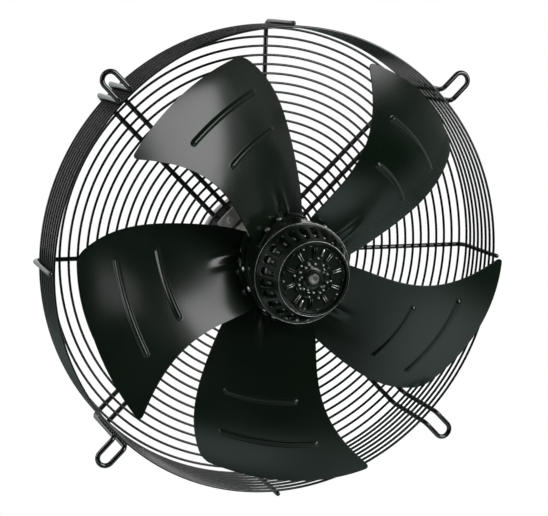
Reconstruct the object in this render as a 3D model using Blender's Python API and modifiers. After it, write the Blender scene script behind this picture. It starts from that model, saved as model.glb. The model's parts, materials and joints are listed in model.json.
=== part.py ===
"""Axial extractor fan with an external-rotor motor, a wire basket guard and five sheet-steel blades.

The fan stands upright with its axis along world Y. The open mouth of the guard faces -Y, and the
origin is on the axis, in the plane that the four fixing eyes bear on. Every piece is drawn in the
fan's own frame, where z runs forward along the axis from the middle of the motor, x to the right and
y up. An empty on the axis turns that frame into the world and brings the eyes' plane to the origin.
Lengths are in metres, and angles run counter-clockwise as seen from the front.
"""
import math

import bmesh
import bpy

MM = 0.001

# Clearances shared by all pieces
GAP = 0.3 * MM
WELD = 0.5 * MM
OVERRUN = 2 * MM
MESH_MERGE = 0.001 * MM
SPIN_MERGE = 0.01 * MM
SMOOTH_DEG = 35

# Wire guard
RING_WIRE = 3.6 * MM
SPOKE_WIRE = 6.5 * MM
BRACKET_WIRE = 7 * MM
RING_SIDES = 3
WIRE_SIDES = 8
RING_SAG = 2.2 * MM
FACE_RING_COUNT = 21
SIDE_RING_COUNT = 8
TIP_CLEARANCE = 25.5 * MM
CORNER_STEP = 4.5 * MM
MOUTH_FLARE = 1.1 * MM
NECK_CLEARANCE = 8.5 * MM
FACE_SETBACK = 114.6 * MM
CORNER_RING_RISE = 14.7 * MM
MOUTH_RING_SETBACK = 18.7 * MM
SPOKE_BEND_R = 12 * MM
BRACKET_BEND_R = 9 * MM
SPOKE_OVERHANG = 3.5 * MM
LEG_SPACING = 22 * MM
EYE_REACH = 42 * MM
EYE_SETBACK = 9.5 * MM
EYE_BEND_R = 7 * MM
BEND_STEPS = 3
EYE_STEPS = 7

# The four diagonals, counter-clockwise from the upper right
CORNER_NAMES = ("top_right", "top_left", "bottom_left", "bottom_right")

# Clamps that tie the wires to the motor flange
CLAMP_LENGTH = 34 * MM
CLAMP_WIDTH = 21 * MM
CLAMP_THICKNESS = 3 * MM
CLAMP_SCREW_D = 6 * MM
CLAMP_HEAD_D = 11 * MM
CLAMP_HEAD_H = 4 * MM
HOLE_CLEARANCE = 0.5 * MM

# Stator housing
FLANGE_REACH = 33 * MM
FLANGE_THICKNESS = 12 * MM
FLANGE_SLOT_WIDTH = 7 * MM
FLANGE_SLOT_LENGTH = 17 * MM
FLANGE_RIM = 5 * MM
FLANGE_SLOT_COUNT = 5
SLOT_STEP_DEG = 13
NECK_R = 55 * MM
NECK_WALL = 5 * MM
NECK_LIP = 3 * MM
NECK_LIP_THICKNESS = 2.5 * MM
BEARING_WALL = 4.7 * MM
BORE_SHOULDER = 2.3 * MM

# Bearings and shaft
SHAFT_D = 15 * MM
SHAFT_TIP = 1.2 * MM
BEARING_D = 35 * MM
BEARING_WIDTH = 11 * MM
RACE_THICKNESS = 3 * MM
BALL_RING_WIDTH = 6 * MM
BALL_CLEARANCE = 0.6 * MM
FRONT_BEARING_Z = 25 * MM
BEARING_SPREAD = 89 * MM
CIRCLIP_D = 22 * MM
CIRCLIP_THICKNESS = 1.5 * MM
WASHER_THICKNESS = 1.2 * MM
TUBE_LIP = 2 * MM
TUBE_COLLAR_THICKNESS = 5 * MM

# Stator stack and winding
STACK_LENGTH = 60 * MM
AIR_GAP = 0.6 * MM
STATOR_SLOT_COUNT = 12
STATOR_SLOT_WIDTH = 8 * MM
STATOR_SLOT_SHARE = 0.475
TOOTH_TIP = 4 * MM
END_TURN_LENGTH = 11 * MM

# Rotor
ROTOR_R = 68.8 * MM
ROTOR_WALL = 4 * MM
ROTOR_FRONT_Z = 46.2 * MM
ROTOR_REAR_Z = -36 * MM
NOSE_R = 50.6 * MM
NOSE_Z = 85.3 * MM
NOSE_RIM = 3.2 * MM
SHOULDER_LIP = 2.4 * MM
CAGE_THICKNESS = 11.6 * MM
CAGE_END_RING = 12 * MM
CUP_COUNT = 24
CUP_WIDTH = 10.5 * MM
CUP_LENGTH = 22 * MM
CUP_CUT_DEPTH = 16 * MM
CAGE_PIN_D = 3.4 * MM
CAGE_PIN_LENGTH = 10 * MM
CAP_RECESS = 6 * MM
CAP_THICKNESS = 4 * MM
CAP_HUB_R = 13 * MM
CAP_HUB_H = 7 * MM
CAP_RIB_COUNT = 10
CAP_RIB_WIDTH = 3 * MM
CAP_RIB_LENGTH = 12 * MM
CAP_RIB_H = 3 * MM

# Impeller blades
BLADE_COUNT = 5
BLADE_TIP_R = 294 * MM
BLADE_SHEET = 2 * MM
BLADE_FRONT_REACH = 62 * MM
BLADE_REAR_REACH = 32.5 * MM
BLADE_CAMBER = 14 * MM
BLADE_CORNER_R = 9 * MM
BLADE_FOOT = 16 * MM
FRONT_EDGE_DEG = (148.9, 136.7, 138.9, 147.0)
REAR_EDGE_DEG = (68.2, 84.2, 92.6, 103.9)
FRONT_EDGE_SHARES = (0.40, 0.735, 0.935, 1.0)
REAR_EDGE_SHARES = (0.925, 1.0, 0.95, 0.77)
BLADE_COLUMN_SHARES = (0, 0.01, 0.035, 0.19, 0.38, 0.57, 0.76, 0.9, 0.965, 0.99, 1)
BLADE_ROW_COUNT = 6
RIVET_COLUMN_SHARES = (0.27, 0.52)
RIVET_D = 4.4 * MM
RIVET_RISE = 9.5 * MM
RIVET_HEAD_D = 8 * MM
RIVET_HEAD_H = 2 * MM
RIVET_FLAT_SHARE = 0.6
RIVET_EDGE_SHARE = 0.4

# Terminal cover and cable gland
COVER_LAP = 5 * MM
COVER_RIM = 10 * MM
COVER_RIM_H = 3 * MM
COVER_DEPTH = 16 * MM
COVER_WALL = 2.5 * MM
COVER_SCREW_D = 3.8 * MM
COVER_SCREW_HEAD_D = 7 * MM
COVER_SCREW_HEAD_H = 2.6 * MM
COVER_SCREW_LENGTH = 12 * MM
GLAND_CLEARANCE = 8 * MM
GLAND_THREAD_D = 16 * MM
GLAND_BORE_D = 8 * MM
GLAND_HEX_D = 22 * MM
GLAND_HEX_H = 5 * MM
GLAND_DOME_D = 18 * MM
GLAND_DOME_H = 10 * MM
GLAND_THREAD_LENGTH = 8 * MM
GLAND_NUT_H = 3.5 * MM

# Facets round the turned pieces
LARGE_SIDES = 24
ROTOR_SIDES = 24
MEDIUM_SIDES = 16
SMALL_SIDES = 8
PIN_SIDES = 4

# Places that several pieces share
RING_R = RING_WIRE / 2 * math.sqrt(2 * math.pi / (RING_SIDES * math.sin(2 * math.pi / RING_SIDES)))
FACE_Z = -FACE_SETBACK
CORNER_Z = FACE_Z + CORNER_RING_RISE
MOUTH_Z = -MOUTH_RING_SETBACK
OUTER_FACE_RING_R = BLADE_TIP_R + TIP_CLEARANCE
CORNER_RING_R = OUTER_FACE_RING_R + CORNER_STEP
MOUTH_RING_R = CORNER_RING_R + MOUTH_FLARE
INNER_RING_R = NECK_R + NECK_CLEARANCE
RING_PITCH = (OUTER_FACE_RING_R - INNER_RING_R) / (FACE_RING_COUNT - 1)
RING_HALF = RING_R * max(math.sin(2 * math.pi * i / RING_SIDES) for i in range(RING_SIDES))
SPOKE_BACK_Z = FACE_Z - RING_HALF - SPOKE_WIRE / 2 + WELD
BRACKET_BACK_Z = FACE_Z - RING_HALF - BRACKET_WIRE / 2 - GAP
FLANGE_FRONT_Z = BRACKET_BACK_Z - BRACKET_WIRE / 2 - GAP
FLANGE_REAR_Z = FLANGE_FRONT_Z - FLANGE_THICKNESS
WIRE_INNER_R = INNER_RING_R - RING_R - OVERRUN
CLAMP_R = INNER_RING_R + RING_PITCH / 2
FLANGE_R = NECK_R + FLANGE_REACH
COVER_R = NECK_R + COVER_LAP
GLAND_OFFSET = COVER_R - COVER_RIM - 2 * COVER_WALL - GLAND_HEX_D / 2 - GLAND_CLEARANCE
SHAFT_R = SHAFT_D / 2
BORE_R = BEARING_D / 2 + GAP
TUBE_R = BORE_R + BEARING_WALL
REAR_BEARING_Z = FRONT_BEARING_Z - BEARING_SPREAD
TUBE_REAR_Z = REAR_BEARING_Z - TUBE_LIP
TUBE_FRONT_Z = FRONT_BEARING_Z + BEARING_WIDTH + TUBE_LIP
CAGE_R = ROTOR_R - ROTOR_WALL - GAP
CORE_R = CAGE_R - CAGE_THICKNESS - AIR_GAP
STATOR_SLOT_DEPTH = STATOR_SLOT_SHARE * (CORE_R - TUBE_R - GAP)
HALF_STACK = STACK_LENGTH / 2
WINDING_REAR_Z = -HALF_STACK - GAP - END_TURN_LENGTH
NECK_FRONT_Z = WINDING_REAR_Z - OVERRUN
ROOT_DEG = FRONT_EDGE_DEG[0] - REAR_EDGE_DEG[0]
WIDEST_SHARE = max(b - a for a, b in zip(BLADE_COLUMN_SHARES, BLADE_COLUMN_SHARES[1:]))
FOOT_R = (ROTOR_R + GAP) / math.cos(math.radians(ROOT_DEG * WIDEST_SHARE / 2)) + BLADE_SHEET / 2
CAP_FLOOR_Z = NOSE_Z - CAP_RECESS


def start_scene():
    """Empty the file and make the two collections and the empty that carries the fan's frame."""
    for old in list(bpy.data.objects):
        bpy.data.objects.remove(old, do_unlink=True)
    parts = bpy.data.collections.new("axial_extractor_fan")
    cutters = bpy.data.collections.new("cutters")
    for collection in (parts, cutters):
        bpy.context.scene.collection.children.link(collection)
    axis = bpy.data.objects.new("fan_axis", None)
    parts.objects.link(axis)
    axis.rotation_euler = (math.pi / 2, 0, 0)
    axis.location = (0, -EYE_SETBACK, 0)
    rotor = bpy.data.objects.new("rotor_axis", None)
    parts.objects.link(rotor)
    rotor.parent = axis
    return parts, cutters, axis, rotor


PARTS, CUTTERS, FAN_AXIS, ROTOR_AXIS = start_scene()


def paint(name, colour, roughness, metallic):
    """A plain Principled material."""
    material = bpy.data.materials.new(name)
    material.use_nodes = True
    shader = material.node_tree.nodes["Principled BSDF"]
    shader.inputs["Base Color"].default_value = (*colour, 1)
    shader.inputs["Roughness"].default_value = roughness
    shader.inputs["Metallic"].default_value = metallic
    return material


BLACK_WIRE = paint("black_coated_wire", (0.012, 0.013, 0.013), 0.3, 0.0)
BLACK_SHEET = paint("black_coated_sheet", (0.018, 0.022, 0.02), 0.38, 0.0)
BLACK_ROTOR = paint("black_coated_rotor", (0.015, 0.016, 0.015), 0.42, 0.1)
CAST_ALUMINIUM = paint("cast_aluminium", (0.42, 0.42, 0.41), 0.5, 0.9)
STEEL = paint("bright_steel", (0.55, 0.55, 0.54), 0.3, 1.0)
ZINC = paint("zinc_plated_steel", (0.5, 0.5, 0.48), 0.4, 1.0)
LAMINATION = paint("lamination_steel", (0.2, 0.2, 0.21), 0.5, 0.8)
COPPER = paint("enamelled_copper", (0.5, 0.18, 0.07), 0.4, 0.9)
PLASTIC = paint("black_plastic", (0.02, 0.02, 0.02), 0.5, 0.0)


def place(obj, material, parent=FAN_AXIS, collection=PARTS):
    """Hang an object on its axis and give it its material."""
    for owner in list(obj.users_collection):
        owner.objects.unlink(obj)
    collection.objects.link(obj)
    obj.parent = parent
    if material:
        obj.data.materials.clear()
        obj.data.materials.append(material)
    return obj


def as_cutter(obj, parent=FAN_AXIS):
    """Put an object among the cutters, where the model leaves it out."""
    place(obj, None, parent, CUTTERS)
    obj.hide_render = True
    obj.display_type = "WIRE"
    return obj


def mesh_object(name, bm):
    """Turn a bmesh into an object with outward faces, smooth but for its sharp edges."""
    bmesh.ops.recalc_face_normals(bm, faces=bm.faces)
    mesh = bpy.data.meshes.new(name)
    bm.to_mesh(mesh)
    bm.free()
    mesh.shade_smooth()
    mesh.set_sharp_from_angle(angle=math.radians(SMOOTH_DEG))
    return bpy.data.objects.new(name, mesh)


def turned(name, profile, steps):
    """Spin a closed (radius, z) outline round the axis with a Screw modifier."""
    area = sum(a[0] * b[1] - b[0] * a[1] for a, b in zip(profile, profile[1:] + profile[:1]))
    outline = profile if area < 0 else profile[::-1]
    on_axis = [point for point in outline if point[0] == 0]
    closed = not on_axis
    if on_axis:
        start = next(i for i, p in enumerate(outline) if p[0] == 0 and outline[i - 1][0] == 0)
        outline = outline[start:] + outline[:start]
    mesh = bpy.data.meshes.new(name)
    edges = [(i, i + 1) for i in range(len(outline) - 1)]
    if closed:
        edges.append((len(outline) - 1, 0))
    mesh.from_pydata([(r, 0, z) for r, z in outline], edges, [])
    obj = bpy.data.objects.new(name, mesh)
    screw = obj.modifiers.new("spin", "SCREW")
    screw.axis = "Z"
    screw.steps = steps
    screw.render_steps = steps
    screw.use_merge_vertices = True
    screw.merge_threshold = SPIN_MERGE
    screw.use_smooth_shade = True
    return obj


def tube_profile(inner, outer, low, high):
    """The outline of a plain ring or tube."""
    return [(inner, high), (outer, high), (outer, low), (inner, low)]


def block(name, size, centre, turn=0.0):
    """A box of this size round a centre, turned about the fan's axis."""
    bm = bmesh.new()
    bmesh.ops.create_cube(bm, size=1)
    bmesh.ops.scale(bm, vec=size, verts=bm.verts)
    obj = mesh_object(name, bm)
    obj.location = centre
    obj.rotation_euler = (0, 0, turn)
    return obj


def rod(name, radius, low, high, sides, centre=(0, 0)):
    """A bar along the axis, beside it at a centre."""
    bm = bmesh.new()
    bmesh.ops.create_cone(bm, cap_ends=True, segments=sides, radius1=radius, radius2=radius, depth=high - low)
    obj = mesh_object(name, bm)
    obj.location = (*centre, (low + high) / 2)
    return obj


def polar(radius, angle, height=0.0):
    """A point at a radius and an angle round the axis."""
    return (radius * math.cos(angle), radius * math.sin(angle), height)


def boolean(obj, cutter, operation="DIFFERENCE"):
    """Cut or join with the exact solver."""
    modifier = obj.modifiers.new(operation.lower(), "BOOLEAN")
    modifier.object = cutter
    modifier.operation = operation
    modifier.solver = "EXACT"
    return obj


def joined(name, objects):
    """Merge loose objects that don't touch into one mesh object, keeping their places."""
    bm = bmesh.new()
    for obj in objects:
        bpy.context.scene.collection.objects.link(obj)
    bpy.context.view_layer.update()
    graph = bpy.context.evaluated_depsgraph_get()
    for obj in objects:
        mesh = bpy.data.meshes.new_from_object(obj.evaluated_get(graph))
        mesh.transform(obj.matrix_world)
        bm.from_mesh(mesh)
        bpy.data.meshes.remove(mesh)
    for obj in objects:
        bpy.data.objects.remove(obj, do_unlink=True)
    bmesh.ops.remove_doubles(bm, verts=bm.verts, dist=MESH_MERGE)
    return mesh_object(name, bm)


def wire(name, points, radius, sides, tilt=0.0):
    """A bent wire: a poly curve with a round bevel, made a mesh with its end caps welded on."""
    curve = bpy.data.curves.new(name, "CURVE")
    curve.dimensions = "3D"
    curve.bevel_depth = radius
    curve.bevel_resolution = sides // 2 - 2
    curve.use_fill_caps = True
    spline = curve.splines.new("POLY")
    spline.points.add(len(points) - 1)
    for point, place_at in zip(spline.points, points):
        point.co = (*place_at, 1)
        point.tilt = tilt
    return joined(name, [bpy.data.objects.new(name, curve)])


def rounded_path(corners, radii, steps):
    """Replace the inner corners of a (radius, z) polyline by arcs that touch both legs."""
    path = [corners[0]]
    for before, corner, after, radius in zip(corners, corners[1:], corners[2:], radii):
        back = (before[0] - corner[0], before[1] - corner[1])
        ahead = (after[0] - corner[0], after[1] - corner[1])
        back_length = math.hypot(*back)
        ahead_length = math.hypot(*ahead)
        back = (back[0] / back_length, back[1] / back_length)
        ahead = (ahead[0] / ahead_length, ahead[1] / ahead_length)
        half = math.acos(back[0] * ahead[0] + back[1] * ahead[1]) / 2
        bisector = (back[0] + ahead[0], back[1] + ahead[1])
        size = math.hypot(*bisector)
        reach = radius / math.sin(half)
        centre = (corner[0] + bisector[0] / size * reach, corner[1] + bisector[1] / size * reach)
        leg = radius / math.tan(half)
        first = (corner[0] + back[0] * leg, corner[1] + back[1] * leg)
        last = (corner[0] + ahead[0] * leg, corner[1] + ahead[1] * leg)
        start = math.atan2(first[1] - centre[1], first[0] - centre[0])
        end = math.atan2(last[1] - centre[1], last[0] - centre[0])
        sweep = (end - start + math.pi) % (2 * math.pi) - math.pi
        for step in range(steps + 1):
            angle = start + sweep * step / steps
            path.append((centre[0] + radius * math.cos(angle), centre[1] + radius * math.sin(angle)))
    path.append(corners[-1])
    return path


def wall_radius(z):
    """The radius of the basket's side wall, on the ring wires' centres, at a height z."""
    share = (z - CORNER_Z) / (MOUTH_Z - CORNER_Z)
    return CORNER_RING_R + (MOUTH_RING_R - CORNER_RING_R) * share


def ring_segments(radius):
    """Enough straight segments that a ring sags no more than RING_SAG, in multiples of eight."""
    return 8 * math.ceil(math.pi / math.acos(1 - RING_SAG / radius) / 8)


def ring(radius, z):
    """One closed guard ring."""
    bpy.ops.mesh.primitive_torus_add(major_segments=ring_segments(radius), minor_segments=RING_SIDES,
                                     major_radius=radius, minor_radius=RING_R)
    obj = bpy.context.object
    obj.location.z = z
    for owner in list(obj.users_collection):
        owner.objects.unlink(obj)
    return obj


def on_spoke(path, turn, offset=0.0):
    """Lay a (radius, z) path on the half plane at an angle, moved sideways by an offset."""
    cosine, sine = math.cos(turn), math.sin(turn)
    return [(r * cosine - offset * sine, r * sine + offset * cosine, z) for r, z in path]


def spoke_path():
    """The face leg, bend and side leg of a single spoke, as (radius, z) points."""
    stand_off = RING_R + SPOKE_WIRE / 2 - WELD
    end_z = MOUTH_Z + SPOKE_OVERHANG
    side = [(wall_radius(z) + stand_off, z) for z in (SPOKE_BACK_Z, end_z)]
    corners = [(WIRE_INNER_R, SPOKE_BACK_Z), side[0], side[1]]
    return rounded_path(corners, [SPOKE_BEND_R], BEND_STEPS)


def guard():
    """The welded basket, in two nodes that part just inside the bends, where the wall begins."""
    path = spoke_path()
    split_r = path[1][0] - SPOKE_WIRE / 2
    face_path = [path[0], (split_r - GAP, SPOKE_BACK_Z)]
    side_path = [(split_r, SPOKE_BACK_Z)] + path[1:]
    turns = [math.pi / 2 * quarter for quarter in range(4)]
    face_rings = [ring(OUTER_FACE_RING_R - RING_PITCH * i, FACE_Z) for i in range(FACE_RING_COUNT)]
    side_pitch = (MOUTH_Z - CORNER_Z) / (SIDE_RING_COUNT - 1)
    side_heights = [CORNER_Z + side_pitch * i for i in range(SIDE_RING_COUNT)]
    side_rings = [face_rings.pop(0)] + [ring(wall_radius(z), z) for z in side_heights]
    bodies = (("guard_face", face_rings, face_path), ("guard_side_wall", side_rings, side_path))
    for name, rings, leg in bodies:
        spokes = [wire("spoke", on_spoke(leg, turn), SPOKE_WIRE / 2, WIRE_SIDES) for turn in turns]
        body = place(joined(name, rings), BLACK_WIRE)
        cutter = as_cutter(joined(name + "_spokes", spokes))
        boolean(body, cutter, "UNION")


def bracket(name, turn):
    """One fixing bracket: a single wire with two legs, bent over the corner to an open eye."""
    stand_off = RING_R + BRACKET_WIRE / 2 + GAP
    eye_z = -EYE_SETBACK - BRACKET_WIRE / 2 * math.cos(math.pi / WIRE_SIDES)
    half = LEG_SPACING / 2
    side = [(wall_radius(z) + stand_off, z) for z in (BRACKET_BACK_Z, eye_z)]
    eye_centre = side[1][0] + EYE_REACH - half - BRACKET_WIRE / 2
    corners = [(WIRE_INNER_R, BRACKET_BACK_Z), side[0], side[1], (eye_centre, eye_z)]
    leg = rounded_path(corners, [BRACKET_BEND_R, EYE_BEND_R], BEND_STEPS)
    points = on_spoke(leg, turn, half)
    for step in range(1, EYE_STEPS):
        angle = math.pi / 2 - math.pi * step / EYE_STEPS
        across = [(eye_centre + half * math.cos(angle), eye_z)]
        points += on_spoke(across, turn, half * math.sin(angle))
    points += on_spoke(leg, turn, -half)[::-1]
    tilt = math.pi / WIRE_SIDES
    place(wire(name, points, BRACKET_WIRE / 2, WIRE_SIDES, tilt), BLACK_WIRE)


def clamp(name, turn):
    """A clamp plate across the two inmost rings, and the screw that pulls them to the flange."""
    low = FACE_Z + RING_HALF + GAP
    high = low + CLAMP_THICKNESS
    centre = polar(CLAMP_R, turn, (low + high) / 2)
    size = (CLAMP_WIDTH, CLAMP_LENGTH, CLAMP_THICKNESS)
    bar = place(block("clamp_plate_" + name, size, centre, turn), ZINC)
    screw_r = CLAMP_SCREW_D / 2
    hole = rod("clamp_hole_" + name, screw_r + HOLE_CLEARANCE, low - OVERRUN, high + OVERRUN,
               SMALL_SIDES, polar(CLAMP_R, turn)[:2])
    boolean(bar, as_cutter(hole))
    seat = high + GAP
    end = FLANGE_REAR_Z + OVERRUN
    head_r = CLAMP_HEAD_D / 2
    profile = [(0, seat + CLAMP_HEAD_H), (head_r, seat + CLAMP_HEAD_H), (head_r, seat),
               (screw_r, seat), (screw_r, end), (0, end)]
    screw = place(turned("clamp_screw_" + name, profile, SMALL_SIDES), ZINC)
    screw.location = polar(CLAMP_R, turn)


def stator_housing(turns):
    """The cast flange and neck, and the steel tube for the bearings, whose collar closes the neck."""
    cavity = NECK_R - NECK_WALL
    lip_r = cavity - NECK_LIP
    lip_z = NECK_FRONT_Z - NECK_LIP_THICKNESS
    profile = [(lip_r, NECK_FRONT_Z), (NECK_R, NECK_FRONT_Z), (NECK_R, FLANGE_FRONT_Z),
               (FLANGE_R, FLANGE_FRONT_Z), (FLANGE_R, FLANGE_REAR_Z), (cavity, FLANGE_REAR_Z),
               (cavity, lip_z), (lip_r, lip_z)]
    body = place(turned("stator_housing", profile, LARGE_SIDES), CAST_ALUMINIUM)
    seat_front = FRONT_BEARING_Z - GAP - WASHER_THICKNESS - GAP
    seat_rear = REAR_BEARING_Z + BEARING_WIDTH + GAP
    bore = BORE_R - BORE_SHOULDER
    collar_z = lip_z - GAP
    collar_r = cavity - GAP
    profile = [(BORE_R, TUBE_FRONT_Z), (TUBE_R, TUBE_FRONT_Z), (TUBE_R, collar_z), (collar_r, collar_z),
               (collar_r, collar_z - TUBE_COLLAR_THICKNESS), (TUBE_R, collar_z - TUBE_COLLAR_THICKNESS),
               (TUBE_R, TUBE_REAR_Z), (BORE_R, TUBE_REAR_Z), (BORE_R, seat_rear), (bore, seat_rear),
               (bore, seat_front), (BORE_R, seat_front)]
    place(turned("bearing_tube", profile, LARGE_SIDES), STEEL)
    low = FLANGE_REAR_Z - OVERRUN
    high = FLANGE_FRONT_Z + OVERRUN
    middle = FLANGE_R - FLANGE_RIM - FLANGE_SLOT_LENGTH / 2
    size = (FLANGE_SLOT_LENGTH, FLANGE_SLOT_WIDTH, high - low)
    cuts = []
    for quarter in range(4):
        for index in range(FLANGE_SLOT_COUNT):
            step = index - (FLANGE_SLOT_COUNT - 1) / 2
            turn = math.pi / 2 * quarter + math.radians(SLOT_STEP_DEG * step)
            cuts.append(block("slot", size, polar(middle, turn, (low + high) / 2), turn))
    screw_hole = CLAMP_SCREW_D / 2 + HOLE_CLEARANCE
    cuts += [rod("hole", screw_hole, low, high, SMALL_SIDES, polar(CLAMP_R, turn)[:2]) for turn in turns]
    cover_hole = COVER_SCREW_D / 2 + HOLE_CLEARANCE
    hole_top = FLANGE_REAR_Z + COVER_SCREW_LENGTH
    cuts += [rod("hole", cover_hole, low, hole_top, SMALL_SIDES, cover_screw_place(i)) for i in range(4)]
    boolean(body, as_cutter(joined("housing_cuts", cuts)))


def cover_screw_place(index):
    """The centre of one of the four cover screws, between the fan's diagonals."""
    return polar(COVER_R - COVER_RIM / 2, math.pi / 2 * index)[:2]


def terminal_cover():
    """The cup over the wiring space behind the flange, its screws, and the cable gland."""
    top = FLANGE_REAR_Z - GAP
    rim_z = top - COVER_RIM_H
    back = top - COVER_DEPTH
    inner = COVER_R - COVER_RIM
    profile = [(COVER_R, top), (COVER_R, rim_z), (inner, rim_z), (inner - COVER_WALL, back), (0, back),
               (0, back + COVER_WALL), (inner - 2 * COVER_WALL, back + COVER_WALL), (inner - COVER_WALL, top)]
    cover = place(turned("terminal_cover", profile, LARGE_SIDES), PLASTIC)
    screw_r = COVER_SCREW_D / 2
    cuts = [rod("hole", screw_r + HOLE_CLEARANCE, rim_z - OVERRUN, top + OVERRUN, SMALL_SIDES,
                cover_screw_place(i)) for i in range(4)]
    gland_at = (0, -GLAND_OFFSET)
    thread_r = GLAND_THREAD_D / 2
    floor = (back - OVERRUN, back + COVER_WALL + OVERRUN)
    cuts.append(rod("hole", thread_r + GAP, *floor, MEDIUM_SIDES, gland_at))
    boolean(cover, as_cutter(joined("cover_cuts", cuts)))
    head_r = COVER_SCREW_HEAD_D / 2
    seat = rim_z - GAP
    tip = FLANGE_REAR_Z + COVER_SCREW_LENGTH - OVERRUN
    for index in range(4):
        outline = [(0, tip), (screw_r, tip), (screw_r, seat), (head_r, seat),
                   (head_r, seat - COVER_SCREW_HEAD_H), (0, seat - COVER_SCREW_HEAD_H)]
        screw = place(turned("cover_screw_%d" % (index + 1), outline, SMALL_SIDES), ZINC)
        screw.location = (*cover_screw_place(index), 0)
    hex_top = back - GAP
    hex_low = hex_top - GLAND_HEX_H
    dome_low = hex_low - GLAND_DOME_H
    bore_r = GLAND_BORE_D / 2
    thread_top = back + COVER_WALL + GLAND_THREAD_LENGTH - GAP
    dome_r = GLAND_DOME_D / 2
    lip_r = (bore_r + dome_r) / 2
    outline = [(bore_r, thread_top), (thread_r, thread_top), (thread_r, hex_top), (GLAND_HEX_D / 2, hex_top),
               (GLAND_HEX_D / 2, hex_low), (dome_r, hex_low), (dome_r, (hex_low + dome_low) / 2),
               (lip_r, dome_low), (bore_r, dome_low)]
    gland = place(turned("cable_gland", outline, MEDIUM_SIDES), PLASTIC)
    gland.location = (*gland_at, 0)
    nut_low = back + COVER_WALL + GAP
    nut_high = nut_low + GLAND_NUT_H
    nut = place(rod("gland_lock_nut", GLAND_HEX_D / 2, nut_low, nut_high, 6, gland_at), ZINC)
    ends = (nut_low - OVERRUN, nut_high + OVERRUN)
    boolean(nut, as_cutter(rod("gland_nut_bore", thread_r + GAP, *ends, MEDIUM_SIDES, gland_at)))


def bearings():
    """Two sealed ball bearings in the tube, the spring washer and the ring that keeps the shaft in."""
    outer_r = BEARING_D / 2
    inner_r = SHAFT_R + GAP
    inner_race_r = inner_r + RACE_THICKNESS
    outer_race_r = outer_r - RACE_THICKNESS
    for name, low in (("front", FRONT_BEARING_Z), ("rear", REAR_BEARING_Z)):
        high = low + BEARING_WIDTH
        middle = (low + high) / 2
        place(turned("bearing_outer_race_" + name, tube_profile(outer_race_r, outer_r, low, high),
                     MEDIUM_SIDES), STEEL)
        place(turned("bearing_inner_race_" + name, tube_profile(inner_r, inner_race_r, low, high),
                     MEDIUM_SIDES), STEEL, ROTOR_AXIS)
        ball_ring = tube_profile(inner_race_r + BALL_CLEARANCE, outer_race_r - BALL_CLEARANCE,
                                 middle - BALL_RING_WIDTH / 2, middle + BALL_RING_WIDTH / 2)
        place(turned("bearing_ball_ring_" + name, ball_ring, MEDIUM_SIDES), STEEL, ROTOR_AXIS)
    washer_low = FRONT_BEARING_Z - GAP - WASHER_THICKNESS
    washer = tube_profile(outer_race_r, outer_r, washer_low, washer_low + WASHER_THICKNESS)
    place(turned("spring_washer", washer, MEDIUM_SIDES), STEEL)
    clip_high = REAR_BEARING_Z - GAP
    clip = tube_profile(SHAFT_R + GAP, CIRCLIP_D / 2, clip_high - CIRCLIP_THICKNESS, clip_high)
    place(turned("shaft_circlip", clip, MEDIUM_SIDES), STEEL, ROTOR_AXIS)
    shaft_low = REAR_BEARING_Z - GAP - CIRCLIP_THICKNESS - OVERRUN
    shaft_high = NOSE_Z + SHAFT_TIP
    chamfer = SHAFT_TIP
    shaft = [(0, shaft_high), (SHAFT_R - chamfer, shaft_high), (SHAFT_R, shaft_high - chamfer),
             (SHAFT_R, shaft_low), (0, shaft_low)]
    place(turned("motor_shaft", shaft, MEDIUM_SIDES), STEEL, ROTOR_AXIS)


def stator_pack():
    """The slotted lamination stack and the winding that runs through its slots."""
    core = place(turned("stator_core", tube_profile(TUBE_R + GAP, CORE_R, -HALF_STACK, HALF_STACK),
                        LARGE_SIDES), LAMINATION)
    slot_outer = CORE_R - TOOTH_TIP
    middle = slot_outer - STATOR_SLOT_DEPTH / 2
    reach = STACK_LENGTH + 2 * OVERRUN
    cuts = []
    bars = []
    bar_reach = STACK_LENGTH + 2 * GAP + END_TURN_LENGTH
    for index in range(STATOR_SLOT_COUNT):
        turn = 2 * math.pi * index / STATOR_SLOT_COUNT
        cuts.append(block("slot", (STATOR_SLOT_DEPTH, STATOR_SLOT_WIDTH, reach), polar(middle, turn), turn))
        size = (STATOR_SLOT_DEPTH - 2 * GAP, STATOR_SLOT_WIDTH - 2 * GAP, bar_reach)
        bars.append(block("bar", size, polar(middle, turn), turn))
    boolean(core, as_cutter(joined("stator_slots", cuts)))
    inner = slot_outer - STATOR_SLOT_DEPTH - WELD
    outer = slot_outer + WELD
    low = HALF_STACK + GAP
    high = low + END_TURN_LENGTH
    rings = [turned("end", tube_profile(inner, outer, low, high), MEDIUM_SIDES),
             turned("end", tube_profile(inner, outer, -high, -low), MEDIUM_SIDES)]
    winding = place(joined("stator_winding", bars), COPPER)
    boolean(winding, as_cutter(joined("end_turns", rings)), "UNION")


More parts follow.
